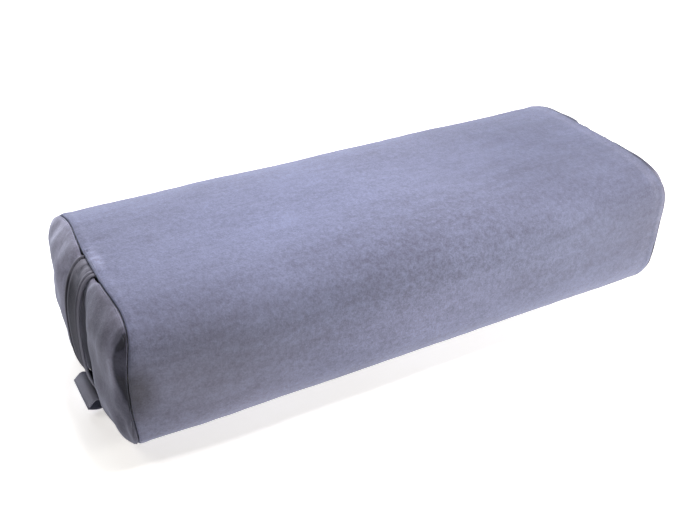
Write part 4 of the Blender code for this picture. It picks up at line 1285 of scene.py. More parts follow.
@dataclass
class EndPanel:
    """A crowned end of the cover, which bulges in two lobes beside its handle."""

    form: StuffedForm
    grip: Grip
    tab: bool
    across: int = 118
    up: int = 84
    coarse_across: int = 66
    coarse_up: int = 48
    crowd: float = 0.35
    seam_gap: float = 0.0004
    shoulder_out: float = 0.0030
    shoulder_depth: float = 0.0010
    crown: float = 0.021
    crown_power: float = 3.0
    crown_fall: float = 0.8
    valley_front_width: float = 0.038
    slack: float = 0.06
    slack_over: float = 0.08
    crease_height: float = 0.1435
    crease_slope: float = 0.55
    crease_level: float = 0.017
    crease_from: tuple[float, float] = (0.012, 0.010)
    crease_to: tuple[float, float] = (0.034, 0.026)
    crease_width: float = 0.0042
    crease_depth: float = 0.0026
    wave_rise: float = 0.00055
    relief_power: int = 40
    sunk_depth: float = 0.0053
    margin: float = 0.005
    fade: float = 0.012
    tuck: float = 0.0050
    last_tuck: float = 0.002
    tuck_steps: int = 5
    wall: float = 0.0009
    free_hold: float = 0.12
    strap_hold: float = 0.25
    strap_reach: float = 0.016
    held_share: float = 0.985
    settle: Settle = Settle(ease=0.028, pressure=0.15, hold=0.5, cap=0.0024, bending=4.0, soften_passes=6)

    @property
    def seam(self) -> float:
        """Where the end seam lies along X."""
        return self.form.half * self.grip.end.value

    def rim_arc(self, a: Array, u: Array) -> Array:
        """Length round of each place on the rim of the square that maps onto the panel.

        The top and bottom are even in y and the sides are even in z, between four corners at 45 degrees.

        Args:
            a: Shares across the square, from -1 to 1.
            u: Shares up the square, from -1 to 1.

        Returns:
            The length round to where the ray through each place meets the rim.
        """
        form = self.form
        table_y, table_z, arcs = form.table["y"], form.table["z"], form.table["arc"]
        steps = form.steps
        quarter = np.interp(math.pi / 4, smooth_step(np.arange(steps) / steps) * math.pi / 2, np.arange(steps))
        at = [int(round(quarter + turn * steps)) for turn in range(4)]
        edge = np.maximum(np.abs(a), np.abs(u))
        a, u = a / np.maximum(edge, 1e-9), u / np.maximum(edge, 1e-9)
        top = slice(at[1], at[0] - 1, -1)
        low = slice(at[2], at[3] + 1)
        front = slice(at[2], at[1] - 1, -1)
        on_top = np.interp(a * table_y[at[0]], table_y[top], arcs[top])
        on_low = np.interp(a * table_y[at[3]], table_y[low], arcs[low])
        height = table_z[at[3]] + (u + 1) / 2 * (table_z[at[0]] - table_z[at[3]])
        on_front = np.interp(height, table_z[front], arcs[front])
        over = height > form.middle
        on_back = np.where(over, form.above_zip(height - form.middle), form.below_zip(form.middle - height))
        on_side = np.where(a < 0, on_front, on_back)
        return np.where(np.abs(u) >= 1 - 1e-9, np.where(u > 0, on_top, on_low), on_side)

    def seam_depth(self, arc: Array, base: float) -> Array:
        """Depth near the seam, which sinks where the tails of the handle and the tab pass through.

        Args:
            arc: Lengths round the section.
            base: The depth elsewhere.

        Returns:
            Depths under the outside of the cover.
        """
        y, z = self.form.read("y", arc), self.form.read("z", arc)
        with_tab = self.tab & (z < self.form.middle)
        centre = np.where(with_tab, TAB_SHIFT, self.grip.shift)
        half = np.where(with_tab, TAB_HALF, self.grip.width / 2) + self.margin
        near = eased_out(np.abs(y - centre), half, self.fade)
        near = np.where(np.abs(z - self.form.middle) < self.form.middle / 2, 0.0, near)
        sunk = self.sunk_depth + np.where(with_tab, TAB_ROOM, 0.0)
        return base + near * (sunk - base)

    def crown_at(self, y: Array, share: Array) -> Array:
        """Height out of the seam: (1 - share^3)^0.8 times the crown, less a valley and some slack.

        The valley is a bell across y, and the slack is on the lobe towards the zip.

        Args:
            y: Places across.
            share: Shares of the way from the middle to the rim.

        Returns:
            Heights along X.
        """
        width = np.where(y < self.grip.shift, self.valley_front_width, VALLEY_WIDTH)
        valley = 1 - VALLEY_SHARE * hump(y, self.grip.shift, width)
        valley = valley - self.slack * eased_in(y, self.grip.shift, self.slack_over)
        return (1 - np.minimum(share, 1.0) ** self.crown_power) ** self.crown_fall * self.crown * valley

    def folds(self, y: Array, z: Array, share: Array) -> Array:
        """Relief of the panel: folds beside its front seam, a crease below its handle's root, and waves.

        The crease is a bell across a line that starts level beside the strap and then slopes down.

        Args:
            y: Places across.
            z: Heights.
            share: Shares of the way from the middle to the rim, where the relief ends.

        Returns:
            Heights along X.
        """
        beside = y - self.grip.shift
        line = self.crease_height - self.crease_slope * np.maximum(beside - self.crease_level, 0.0)
        crease = hump(z - line, 0.0, self.crease_width) * eased_in(beside, *self.crease_from)
        crease = self.crease_depth * (crease * eased_out(beside, *self.crease_to))
        waves = Waves(PANEL_SEED + self.grip.end.value, longest=0.09, shortest=0.03)
        sunk = SEAM_FOLD.relief(y, z) + LOW_FOLD.relief(y, z) + SECOND_FOLD.relief(y, z) + crease
        relief = SEAM_RIDGE.relief(y, z) - sunk + self.wave_rise * waves(y, z)
        return (1 - share ** self.relief_power) * relief

    def grid(self, a: Array, u: Array) -> tuple[Array, Array, Array]:
        """Points of the dome on a grid of the square, with the share of the way to the rim.

        Args:
            a: Shares across, one a row.
            u: Shares up, one a column.

        Returns:
            Points on the +X end, the shares, and the rim's lengths round.
        """
        a, u = np.meshgrid(a, u, indexing="ij")
        share = np.maximum(np.abs(a), np.abs(u))
        arc = self.rim_arc(a, u)
        rim = self.form.at(self.seam, arc, self.seam_depth(arc, self.shoulder_depth), bowed=False)
        y = share * rim[..., 1]
        z = self.form.middle + share * (rim[..., 2] - self.form.middle)
        bow = self.form.bow(self.grip.end is End.LEFT, arc) * share ** self.form.draw_power
        x = self.form.half + self.shoulder_out + bow + self.crown_at(y, share)
        return np.stack([x, y, z], axis=-1), share, arc

    def relieved(self, points: Array, share: Array) -> Array:
        """The dome with its folds, moved along X.

        Args:
            points: Points of the plain dome.
            share: Shares of the way from the middle to the rim.

        Returns:
            The folded dome.
        """
        folded = points.copy()
        folded[..., 0] += self.folds(points[..., 1], points[..., 2], share)
        return folded

    def settled(self, a: Array, u: Array) -> Array:
        """Displacements from the cloth simulation, read at the fine grid's rows and columns.

        Args:
            a: Shares across the square, from -1 to 1.
            u: Shares up the square, from -1 to 1.

        Returns:
            One vector a place.
        """
        coarse = spaced(self.coarse_across, self.crowd), spaced(self.coarse_up, self.crowd)
        points, share, _ = self.grid(*coarse)
        near_strap = hump(points[..., 1], self.grip.shift, self.strap_reach)
        pins = self.free_hold + self.strap_hold * near_strap
        pins[share > self.held_share] = 1.0
        moved = self.settle.moved(self.relieved(points, share), pins)
        return read_between(moved, coarse, (a, u))

    def tucked(self, rim_arc: Array) -> list[Array]:
        """Rings that carry the dome's rim into the seam: a quarter circle, then a straight tuck.

        Args:
            rim_arc: Length round of each point of the rim.

        Returns:
            One ring of points a step, on the +X end.
        """
        turn = np.linspace(0, math.pi / 2, self.tuck_steps)[1:]
        radius = self.shoulder_out - self.seam_gap
        outs = np.append(self.shoulder_out - radius * np.sin(turn), [self.seam_gap / 2, 0.0])
        sinks = np.append(radius * (1 - np.cos(turn)), [self.tuck - self.last_tuck, self.tuck])
        rings = []
        for out, sink in zip(outs, sinks):
            ring = self.form.at(self.seam, rim_arc, self.seam_depth(rim_arc, self.shoulder_depth) + sink)
            ring[:, 0] = np.abs(ring[:, 0]) + out
            rings.append(ring)
        return rings

    def build(self) -> bpy.types.Object:
        """Lay the dome with its rim turned into the seam, mirror it to its end and carry it.

        Returns:
            The end panel.
        """
        a, u = spaced(self.across, self.crowd), spaced(self.up, self.crowd)
        points, share, arc = self.grid(a, u)
        points = self.relieved(points, share)
        points = points + self.settled(a, u)
        numbers = np.arange(self.across * self.up).reshape(self.across, self.up)
        rim = np.concatenate([numbers[-1, :-1], numbers[:0:-1, -1], numbers[0, :0:-1], numbers[:-1, 0]])
        rings = self.tucked(arc.reshape(-1)[rim])
        count, base = len(rim), self.across * self.up
        ring = base + np.arange(count)
        first = np.stack([rim, np.roll(rim, -1), np.roll(ring, -1), ring], 1)
        tucked = quads(len(rings), count, around=True, first=base)
        faces = np.concatenate([quads(self.across, self.up), first[:, ::-1], tucked[:, ::-1]])
        sheet = np.concatenate([points.reshape(-1, 3), *rings])
        label = self.grip.end.label
        item = lay_mesh("cover_end_cloth_" + label, *set_at_end(sheet, faces, self.grip.end), SUEDE_END)
        add_uv(item, sheet[:, 1], sheet[:, 2])
        thicken(item, self.wall)
        return carried(item, "suede_end", "cover_end_" + label)


# ---- handles, tab and stitches ----


def left_normals(path: Array) -> Array:
    """Unit normals to the left of a path.

    Args:
        path: Stations, as x and z.

    Returns:
        One normal a station, as x and z.
    """
    step = np.gradient(path, axis=0)
    step /= np.linalg.norm(step, axis=1, keepdims=True)
    return np.stack([-step[:, 1], step[:, 0]], axis=1)


def lengths_along(path: Array) -> Array:
    """Length along a path to each of its stations."""
    return np.cumsum(np.linalg.norm(np.diff(path, axis=0, prepend=path[:1]), axis=1))


def swept(path: Array, profile: Array, shift: Array) -> Array:
    """Rings of (across, out) profiles along a path in X and Z: path + out times normal, moved across by shift.

    Args:
        path: Stations, as x and z.
        profile: One closed profile a station, as across and out.
        shift: Where the middle of the strip lies in y, one a station.

    Returns:
        Points by station and place round the profile.
    """
    normal = left_normals(path)
    x = path[:, None, 0] + profile[..., 1] * normal[:, None, 0]
    z = path[:, None, 1] + profile[..., 1] * normal[:, None, 1]
    y = shift[:, None] + profile[..., 0]
    return np.stack([x, y, z], axis=-1)


def capped(rings: Array) -> tuple[Array, Array]:
    """A tube's points and faces, with a flat strip of quads across each end.

    The profile has an even count, so its first half is joined straight to its second half.

    Args:
        rings: Points by station and place round the profile.

    Returns:
        The points in one list, and the corner numbers of the faces.
    """
    stations, count = rings.shape[:2]
    faces = [quads(stations, count, around=True)]
    half = count // 2
    near = np.arange(half - 1)
    for base, flip in ((0, True), ((stations - 1) * count, False)):
        cap = np.stack([near, near + 1, count - 2 - near, count - 1 - near], axis=1) + base
        faces.append(cap[:, ::-1] if flip else cap)
    return rings.reshape(-1, 3), np.concatenate(faces)


@dataclass
class Handle:
    """A carry handle: suede folded over and topstitched along both edges, sewn in top and bottom."""

    form: StuffedForm
    grip: Grip
    tab: bool
    stations: int = 92
    around: int = 64
    rim_depth: float = 0.0028
    squareness: float = 0.55
    edge_power: int = 14
    groove: float = 0.0013
    groove_width: float = 0.0010
    inner_groove: float = 0.6
    roll: float = 0.0009
    edge_roll: tuple[float, float] = (0.42, 0.0017)
    inside_roll: tuple[float, float, float] = (0.5, 0.0021, 0.0012)
    sunk: float = 0.0008
    sunk_width: float = 0.009
    stitch_pitch: float = 0.0031
    stitch_from: float = 0.014
    stitch_proud: float = 0.00022
    sway: float = 0.0010
    lean: float = 0.0012
    uneven: float = 0.0004

    def path(self) -> Array:
        """x = start + bow cos^p, z = middle + half sin^0.77, where p grows from 1.2 to 2.04 below mid-height.

        Returns:
            Stations, as x and z on the +X end.
        """
        grip = self.grip
        top = self.form.height - self.rim_depth - grip.thickness / 2
        foot = self.rim_depth + grip.thickness / 2 + (TAB_ROOM if self.tab else 0.0)
        angle = np.linspace(math.pi / 2, -math.pi / 2, self.stations)
        rise = np.sign(np.sin(angle)) * np.abs(np.sin(angle)) ** (2 / grip.power)
        low = smooth_step(-np.sin(angle))
        fall = grip.fall + (grip.low_fall - grip.fall) * low
        out = np.clip(np.cos(angle), 0.0, 1.0) ** (2 * fall)
        start = self.form.half + grip.standoff
        bow = np.stack([start + grip.bow * out, (top + foot) / 2 + (top - foot) / 2 * rise], axis=1)
        tail = self.form.half - grip.tail
        return np.concatenate([[(tail, top)], bow, [(tail, foot)]])

    def profile(self, lift: Array) -> Array:
        """The folded cross-section: a rounded strip with a sunk line of stitches beside each edge.

        Half thickness = T/2 (1 - |q|^14)^0.5, with q from -1 to 1 across, less a bell at each stitch line,
        plus the rolls on both sides of it, less a broad bell down the middle of the outer face.

        Args:
            lift: How much the middle stands out at each station.

        Returns:
            One closed profile a station.
        """
        grip = self.grip
        half = grip.width / 2
        turn = np.linspace(0, 2 * math.pi, self.around, endpoint=False) + math.pi / self.around
        across = half * np.sign(np.cos(turn)) * np.abs(np.cos(turn)) ** self.squareness
        q = across / half
        bulge = grip.thickness / 2 * (1 - np.abs(q) ** self.edge_power) ** 0.5
        place, width = self.edge_roll
        share, step, breadth = self.inside_roll
        stitched = hump(np.abs(across), half - grip.stitch_inset, self.groove_width)
        rolled = self.roll * hump(np.abs(across), half - grip.stitch_inset * place, width)
        beside = self.roll * share * hump(np.abs(across), half - grip.stitch_inset - step, breadth)
        outer = bulge - self.groove * stitched + rolled + beside - self.sunk * hump(across, 0.0, self.sunk_width)
        inner = -bulge + self.groove * self.inner_groove * stitched
        out = np.where(np.sin(turn) > 0, outer, inner)
        return np.stack([np.broadcast_to(across, (len(lift), self.around)),
                         out[None, :] + lift[:, None] * (1 - q[None, :] ** 2)], axis=-1)

    def line(self, share: Array) -> Array:
        """Where the strap's middle lies in y: it sways by sin(pi s) sin(3 s + 1) along its run."""
        return self.grip.shift + self.sway * np.sin(math.pi * share) * np.sin(3 * share + 1)

    def leaning(self, across: Array, share: Array) -> Array:
        """How far one edge stands out and the other in: in proportion to across, times sin(pi s)^2."""
        return self.lean * across / (self.grip.width / 2) * np.sin(math.pi * share) ** 2

    def shape(self) -> tuple[Array, Array]:
        """The strap on the +X end.

        Returns:
            Its rings of points, and its path.
        """
        path = self.path()
        share = np.linspace(0.0, 1.0, len(path))
        waves = Waves(STRAP_SEED + self.grip.end.value, longest=0.5, shortest=0.2)
        lift = self.uneven * waves(share, 0 * share) * np.sin(math.pi * share)
        rings = swept(path, self.profile(lift), self.line(share))
        rings[..., 0] += self.leaning(rings[..., 1] - self.grip.shift, share[:, None])
        return rings, path

    def build(self) -> list[bpy.types.Object]:
        """The strap and its stitches, with the strap's map in metres across it and along it.

        Returns:
            Both pieces.
        """
        rings, path = self.shape()
        points, faces = capped(rings)
        end = self.grip.end
        run = lengths_along(path)
        strap = lay_mesh("handle_strap_" + end.label, *set_at_end(points, faces, end), SUEDE_STRAPS[end])
        add_uv(strap, points[:, 1], np.repeat(run, self.around))
        carried(strap, "suede_strap", "handle_" + end.label)
        return [strap, carried(self.stitches(path, run), "suede_strap")]

    def stitches(self, path: Array, run: Array) -> bpy.types.Object:
        """Two rows of topstitches on the outer face, each stitch leaning along the strap.

        Args:
            path: Stations of the strap, as x and z.
            run: Length along the strap to each station.

        Returns:
            The stitches as one object.
        """
        normal = left_normals(path)
        at = np.arange(self.stitch_from, run[-1] - self.stitch_from, self.stitch_pitch)
        x, z, nx, nz = (np.interp(at, run, values) for values in (*path.T, *normal.T))
        proud = self.grip.thickness / 2 - self.groove + self.stitch_proud
        share = at / run[-1]
        places = []
        line = self.grip.width / 2 - self.grip.stitch_inset
        for across in (-line, line):
            lean = self.leaning(across, share)
            places.append(np.stack([x + nx * proud + lean, self.line(share) + across, z + nz * proud], axis=1))
        heads, ups = np.stack([nz, 0 * nz, -nx], axis=1), np.stack([nx, 0 * nx, nz], axis=1)
        return stitch_row("handle_stitches_" + self.grip.end.label, np.concatenate(places), np.tile(heads, (2, 1)),
                          np.tile(ups, (2, 1)), self.stitch_pitch, self.grip.end)


STITCH_RINGS = 5
STITCH_SIDES = 6
STITCH_RADIUS = 0.00024
STITCH_DIP = 0.00025
STITCH_HALF = 0.40


def stitch_row(name: str, places: Array, heads: Array, ups: Array, pitch: float,
               end: End = End.RIGHT) -> bpy.types.Object:
    """Many stitches in one piece, each a short tube that dips at both ends.

    Ring i lies at t from -1 to 1 along the stitch, its radius is R (1 - 0.9 t^4)^0.5, and it sinks by the
    square of t.

    Args:
        name: The piece's name.
        places: The middle of each stitch.
        heads: The way that each stitch runs.
        ups: The way out of the cloth at each stitch.
        pitch: Distance from one stitch to the next.
        end: The end that the row is mirrored to.

    Returns:
        The stitches as one object.
    """
    t = np.linspace(-1, 1, STITCH_RINGS)
    radius = STITCH_RADIUS * np.sqrt(1 - np.abs(t) ** 4 * 0.9)
    turn = np.arange(STITCH_SIDES) * 2 * math.pi / STITCH_SIDES
    along = (t * pitch * STITCH_HALF)[:, None, None]
    across = (radius[:, None] * np.cos(turn))[..., None]
    up = (radius[:, None] * np.sin(turn) - (STITCH_DIP * t ** 2)[:, None])[..., None]
    heads, beside, ups = (way[:, None, None, :] for way in (heads, np.cross(heads, ups), ups))
    local = along * heads + across * beside + up * ups
    points = (places[:, None, None, :] + local).reshape(-1, 3)
    first = np.arange(STITCH_SIDES)[::-1]
    caps = np.array([first[[0, 1, 2, 3]], first[[0, 3, 4, 5]]])
    far_caps = caps[:, ::-1] + (STITCH_RINGS - 1) * STITCH_SIDES
    one = np.concatenate([quads(STITCH_RINGS, STITCH_SIDES, around=True), caps, far_caps])
    starts = np.arange(len(places)) * STITCH_RINGS * STITCH_SIDES
    faces = (one[None] + starts[:, None, None]).reshape(-1, 4)
    return lay_mesh(name, *set_at_end(points, faces, end), SEAM_THREAD)


@dataclass
class Tab:
    """The bare loop of tape in the left bottom seam, folded once and pressed by the floor."""

    form: StuffedForm
    width: float = 0.046
    shift: float = TAB_SHIFT
    thickness: float = 0.0008
    reach: float = 0.0275
    over: tuple[tuple[float, float], ...] = (
        (-0.0090, 0.0039), (0.0, 0.0040), (0.0050, 0.0046), (0.0095, 0.0078), (0.0132, 0.0125),
        (0.0165, 0.0158), (0.0200, 0.0163), (0.0235, 0.0138), (0.0270, 0.0102),
    )
    under: tuple[tuple[float, float], ...] = (
        (-0.0090, 0.0027), (0.0, 0.0027), (0.0060, 0.0028), (0.0120, 0.0032), (0.0180, 0.0045),
        (0.0230, 0.0066), (0.0270, 0.0086),
    )
    stations: int = 37
    columns: int = 30
    skew: float = -0.0025
    taper: float = 0.02
    tip_bulge: float = 1.2
    tip_steps: int = 7
    corner_wave: float = 0.0009
    wave_turn: float = 2.2
    wave_start: float = 0.6
    corner_curl: float = 0.0012
    curl_out: float = 0.4
    lowest: float = 0.0002

    def layer(self, places: Sequence[tuple[float, float]]) -> Array:
        """A smooth curve of x and z through places given from the end seam."""
        knots = np.array(places)[:, None, :] + (self.form.half, 0.0)
        return finer(knots, np.linspace(0, len(knots) - 1, self.stations), np.zeros(1))[:, 0]

    def path(self) -> Array:
        """Out under the handle, up over a hump and down to the folded tip, then back underneath.

        Both layers are smooth curves through a few places, and the tip is a half circle between them.

        Returns:
            Stations, as x and z on the +X end.
        """
        upper, lower = self.layer(self.over), self.layer(self.under)
        bend = np.linspace(math.pi / 2, -math.pi / 2, self.tip_steps)[1:-1]
        tip_x, middle = upper[-1, 0], (upper[-1, 1] + lower[-1, 1]) / 2
        radius = (upper[-1, 1] - lower[-1, 1]) / 2
        tip = np.stack([tip_x + radius * self.tip_bulge * np.cos(bend), middle + radius * np.sin(bend)], 1)
        return np.concatenate([upper, tip, lower[::-1]])

    def build(self) -> bpy.types.Object:
        """The tape as one thin strip whose corners curl a little, mirrored to the left end.

        Returns:
            The tab.
        """
        path = self.path()
        normal, run = left_normals(path), lengths_along(path)
        v = spaced(self.columns)
        free = eased_in(path[:, :1], self.form.half, self.reach)
        wave = self.corner_wave * np.sin(self.wave_turn * v + self.wave_start)
        curl = (wave + self.corner_curl * v ** 3) * free
        y = self.shift + self.skew * free + v * self.width / 2 * (1 - self.taper * free)
        middle = np.stack([path[:, :1] + curl * self.curl_out, y, path[:, 1:] + curl], -1)
        offset = np.stack([normal[:, 0], 0 * normal[:, 0], normal[:, 1]], -1)[:, None, :] * self.thickness / 2
        rings = np.concatenate([middle + offset, (middle - offset)[:, ::-1]], axis=1)
        points, faces = capped(rings)
        points[:, 2] = np.maximum(points[:, 2], self.lowest)
        across = np.broadcast_to(np.concatenate([v, v[::-1]]) * self.width / 2, rings.shape[:2])
        item = lay_mesh("folded_tab", *set_at_end(points, faces, End.LEFT), TAB_TAPE)
        add_uv(item, across, np.broadcast_to(run[:, None], rings.shape[:2]))
        return carried(item, "label_tape", "seam_tab")


PLASTIC_NODES = ("zip_teeth_upper", "zip_teeth_lower", "zip_top_stop_upper", "zip_top_stop_lower", "zip_bottom_stop")
METAL_NODES = ("zip_slider", "zip_pull")


@dataclass
class ZipCloth:
    """The woven tapes behind the slit, with the stitches that hold them to the hems."""

    form: StuffedForm
    half: float = 0.2967
    split: float = 0.001
    width: float = 0.013
    depth: float = 0.0023
    thickness: float = 0.0005
    stitch_pitch: float = 0.0030
    stitch_rise: float = 0.0108
    stitched_half: float = 0.286
    stitch_proud: float = 0.00008
    probe: float = 0.001
    stations: int = 150
    columns: int = 12
    cord: float = 0.0004
    cord_width: float = 0.0006

    def tape(self, name: str, up: int, node: str) -> bpy.types.Object:
        """One tape: stations along X and columns up or down, with both faces joined round.

        Its outer face has a bell-shaped cord beside the teeth.

        Args:
            name: The piece's name.
            up: 1 for the tape above the teeth, or -1.
            node: The CAD node that it stands for.

        Returns:
            The tape.
        """
        x = spaced(self.stations) * self.half
        rise = np.linspace(self.split, self.split + self.width, self.columns)
        arc = self.form.above_zip(rise) if up > 0 else self.form.below_zip(rise)
        cord = self.cord * hump(rise, self.split + self.cord_width, self.cord_width)
        outer = self.form.at(x[:, None], arc, self.depth - cord)
        inner = self.form.at(x[:, None], arc, self.depth + self.thickness)
        rings = np.concatenate([outer, inner[:, ::-1]], axis=1)
        points, faces = capped(rings)
        item = lay_mesh(name, points, faces if up > 0 else faces[:, ::-1], ZIP_TAPE)
        across = np.broadcast_to(np.concatenate([rise, rise[::-1]]), rings.shape[:2])
        add_uv(item, across, np.broadcast_to(x[:, None], rings.shape[:2]))
        return carried(item, "zip_tape", node)

    def stitches(self, wrap: Wrap) -> bpy.types.Object:
        """A row of topstitches above and below the slit, on the outside of the hems.

        Args:
            wrap: The cover that they are sewn through.

        Returns:
            The stitches as one object.
        """
        x = np.arange(-self.stitched_half, self.stitched_half, self.stitch_pitch)
        places, ups = [], []
        for arc in (self.form.above_zip(self.stitch_rise), self.form.below_zip(self.stitch_rise)):
            arcs = np.full(len(x), float(arc))
            proud = wrap.relief(x, arcs)
            surface = self.form.at(x, arcs, -proud - self.stitch_proud)
            outward = self.form.at(x, arcs, -proud - self.probe) - surface
            places.append(surface)
            ups.append(outward / np.linalg.norm(outward, axis=1, keepdims=True))
        heads = np.tile([1.0, 0.0, 0.0], (2 * len(x), 1))
        item = stitch_row("zip_topstitch", np.concatenate(places), heads, np.concatenate(ups), self.stitch_pitch)
        return carried(item, "zip_tape")

    def build(self, wrap: Wrap) -> None:
        """Both tapes and their stitches, and the finishes of the zip's own solids.

        Args:
            wrap: The cover that the tapes are sewn to.
        """
        self.tape("zip_tape_weave_upper", 1, "zip_tape_upper")
        self.tape("zip_tape_weave_lower", -1, "zip_tape_lower")
        self.stitches(wrap)
        for finish, names in ((TEETH, PLASTIC_NODES), (METAL, METAL_NODES)):
            for name in names:
                redress(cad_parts[name], finish)


def redress(item: bpy.types.Object, finish: Finish) -> None:
    """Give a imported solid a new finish."""
    item.data.materials.clear()
    item.data.materials.append(finish.material())


# ---- what is inside the cover ----


@dataclass(frozen=True)
class Layer:
    """One soft layer of the insert: the names and nodes of its sleeve and its two ends, and its finish."""

    sleeve: str
    sleeve_node: str
    cap: str
    cap_node: str
    slot: str
    finish: Finish
    sleeve_lumps: float
    cap_lumps: float


LINER = Layer("liner_sleeve", "liner_wrap", "liner_cap_", "liner_end_", "liner_cotton", COTTON, 0.0003, 0.0004)
BATTING = Layer("batting_roll", "batting_wrap", "batting_pad_", "batting_end_", "batting", FIBRE, 0.0006, 0.0006)


@dataclass
class Insert:
    """The lined insert: a cotton sleeve with crowned ends, batting, and three slabs of foam."""

    form: StuffedForm
    liner_depth: float = 0.0028
    liner_half: float = 0.2955
    end_depth: float = 0.0130
    end_turn: float = 0.014
    wall: float = 0.0005
    around: int = 150
    crowd: float = 0.5
    dent_depth: float = 0.0032
    dent_fade: tuple[float, float] = (0.008, 0.026)
    batting_depth: float = 0.0045
    batting_wall: float = 0.0145
    batting_skin: float = 0.0016
    cap_around: int = 120
    cap_rings: int = 34
    cap_base: float = 0.0115
    cap_crown: float = 0.021
    cap_inset: float = 0.0012
    cap_shares: tuple[float, float] = (0.004, 0.06)
    cap_power: float = 3.0
    cap_fall: float = 0.8
    lump_power: int = 4
    pad_gap: float = 0.0004
    core_half: float = 0.268
    core_inset: float = 0.0166
    core_corner: float = 0.025
    corner_steps: int = 10
    slabs: tuple[str, ...] = ("lower", "middle", "upper")
    slab_gap: float = 0.0006
    slab_levels: int = 16
    slab_stations: int = 60
    cut_ease: float = 0.0008
    cut_width: float = 0.0006

    def dent(self, arc: Array) -> Array:
        """Extra depth behind the zip, which fades out above and below it."""
        y, z = self.form.read("y", arc), self.form.read("z", arc)
        return np.where(y > 0, self.dent_depth * eased_out(np.abs(z - self.form.middle), *self.dent_fade), 0.0)

    def sleeve(self, layer: Layer, half: float, depth: float, wall: float, rows: int) -> bpy.types.Object:
        """A closed sleeve round the insert, turned in towards its ends, with a lumpy outside.

        Depth = depth + dent + turn in - lumps, where the turn in is the square of a smooth step.

        Args:
            layer: The layer that it belongs to.
            half: Distance from the middle to its ends.
            depth: How far its outside lies under the outside of the cover.
            wall: Its thickness.
            rows: How many rings of points it has.

        Returns:
            The sleeve.
        """
        arc = np.linspace(0, self.form.girth, self.around, endpoint=False)
        x, arc = np.meshgrid(spaced(rows, self.crowd) * half, arc, indexing="ij")
        turn_in = (self.end_depth - depth) * eased_in(np.abs(x), half - self.end_turn, self.end_turn) ** 2
        uneven = layer.sleeve_lumps * Waves(SLEEVE_SEED, longest=0.09, shortest=0.03)(x, arc)
        at = depth + self.dent(arc) + turn_in - uneven
        outer = self.form.at(x, arc, at, bowed=False)
        inner = self.form.at(x, arc, at + wall, bowed=False)
        points = np.concatenate([outer, inner[::-1]])
        faces = quads(len(points), self.around, around=True)
        first = np.arange(self.around)
        last = (len(points) - 1) * self.around + first
        close = np.stack([last, np.roll(last, -1), np.roll(first, -1), first], 1)
        item = lay_mesh(layer.sleeve, points, np.concatenate([faces, close]), layer.finish)
        add_uv(item, np.concatenate([x, x[::-1]]), np.concatenate([arc, arc[::-1]]))
        return carried(item, layer.slot, layer.sleeve_node)

    def crowned_pad(self, layer: Layer, grip: Grip, skin: float = 0.0, flat_back: float = 0.0) -> bpy.types.Object:
        """A crowned end: rings from the middle to the rim in front, and the same behind it.

        Height = (1 - share^3)^0.8 (base + crown times the valley - half the skin), plus lumps.

        Args:
            layer: The layer that it belongs to.
            grip: The handle whose end and valley it follows.
            skin: Thickness of what lies over it.
            flat_back: Where its back is cut level along X, or 0 for a wall as thin as the liner's.

        Returns:
            The pad.
        """
        form = self.form
        arc = np.linspace(0, form.girth, self.cap_around, endpoint=False)
        first, second = self.cap_shares
        share = np.concatenate([[first], np.linspace(second, 1.0, self.cap_rings)])[:, None]
        rim = form.at(form.half * grip.end.value, arc, self.end_depth + skin, bowed=False)
        y = share * rim[:, 1]
        z = form.middle + share * (rim[:, 2] - form.middle)
        valley = 1 - VALLEY_SHARE * hump(y, grip.shift, VALLEY_WIDTH)
        height = self.cap_base + self.cap_crown * valley - skin * 0.5
        crown = (1 - share ** self.cap_power) ** self.cap_fall * height
        uneven = Waves(PAD_SEED, longest=0.06, shortest=0.02)(y, z)
        lumps = layer.cap_lumps * uneven * (1 - share ** self.lump_power)
        front = np.stack([self.liner_half + crown - self.cap_inset + lumps, y, z], -1)
        back = front.copy()
        back[..., 0] = flat_back or front[..., 0] - self.wall
        points = np.concatenate([front, back[::-1]])
        count, total = self.cap_around, len(points) * self.cap_around
        around = np.arange(count)
        last = total - count + around
        fan_front = np.stack([around, np.roll(around, -1), np.full(count, total)], 1)[:, ::-1]
        fan_back = np.stack([last, np.roll(last, -1), np.full(count, total + 1)], 1)
        parts = (quads(len(points), count, around=True), fan_front, fan_back)
        shown = [face for part in parts for face in part.tolist()]
        flat = np.concatenate([points.reshape(-1, 3), [front[0].mean(0), back[0].mean(0)]])
        if grip.end is End.RIGHT:
            shown = [face[::-1] for face in shown]
        item = lay_mesh(layer.cap + grip.end.label, flat * (grip.end.value, 1, 1), shown, layer.finish)
        add_uv(item, flat[:, 1], flat[:, 2])
        return carried(item, layer.slot, layer.cap_node + grip.end.label)

    def core_loop(self) -> Array:
        """The rounded rectangle of the foam core, from the +Y side up and round, with a quarter circle a corner.

        Returns:
            Points, as y and z.
        """
        inset, corner = self.batting_depth + self.core_inset, self.core_corner
        centre = np.array([0.0, self.form.middle])
        side = np.array([self.form.width / 2, self.form.middle]) - inset - corner
        loop = []
        for turn, sign in enumerate(((1, 1), (-1, 1), (-1, -1), (1, -1))):
            here = np.linspace(0, math.pi / 2, self.corner_steps) + turn * math.pi / 2
            loop.append(centre + sign * side + corner * np.stack([np.cos(here), np.sin(here)], 1))
        return np.concatenate(loop)

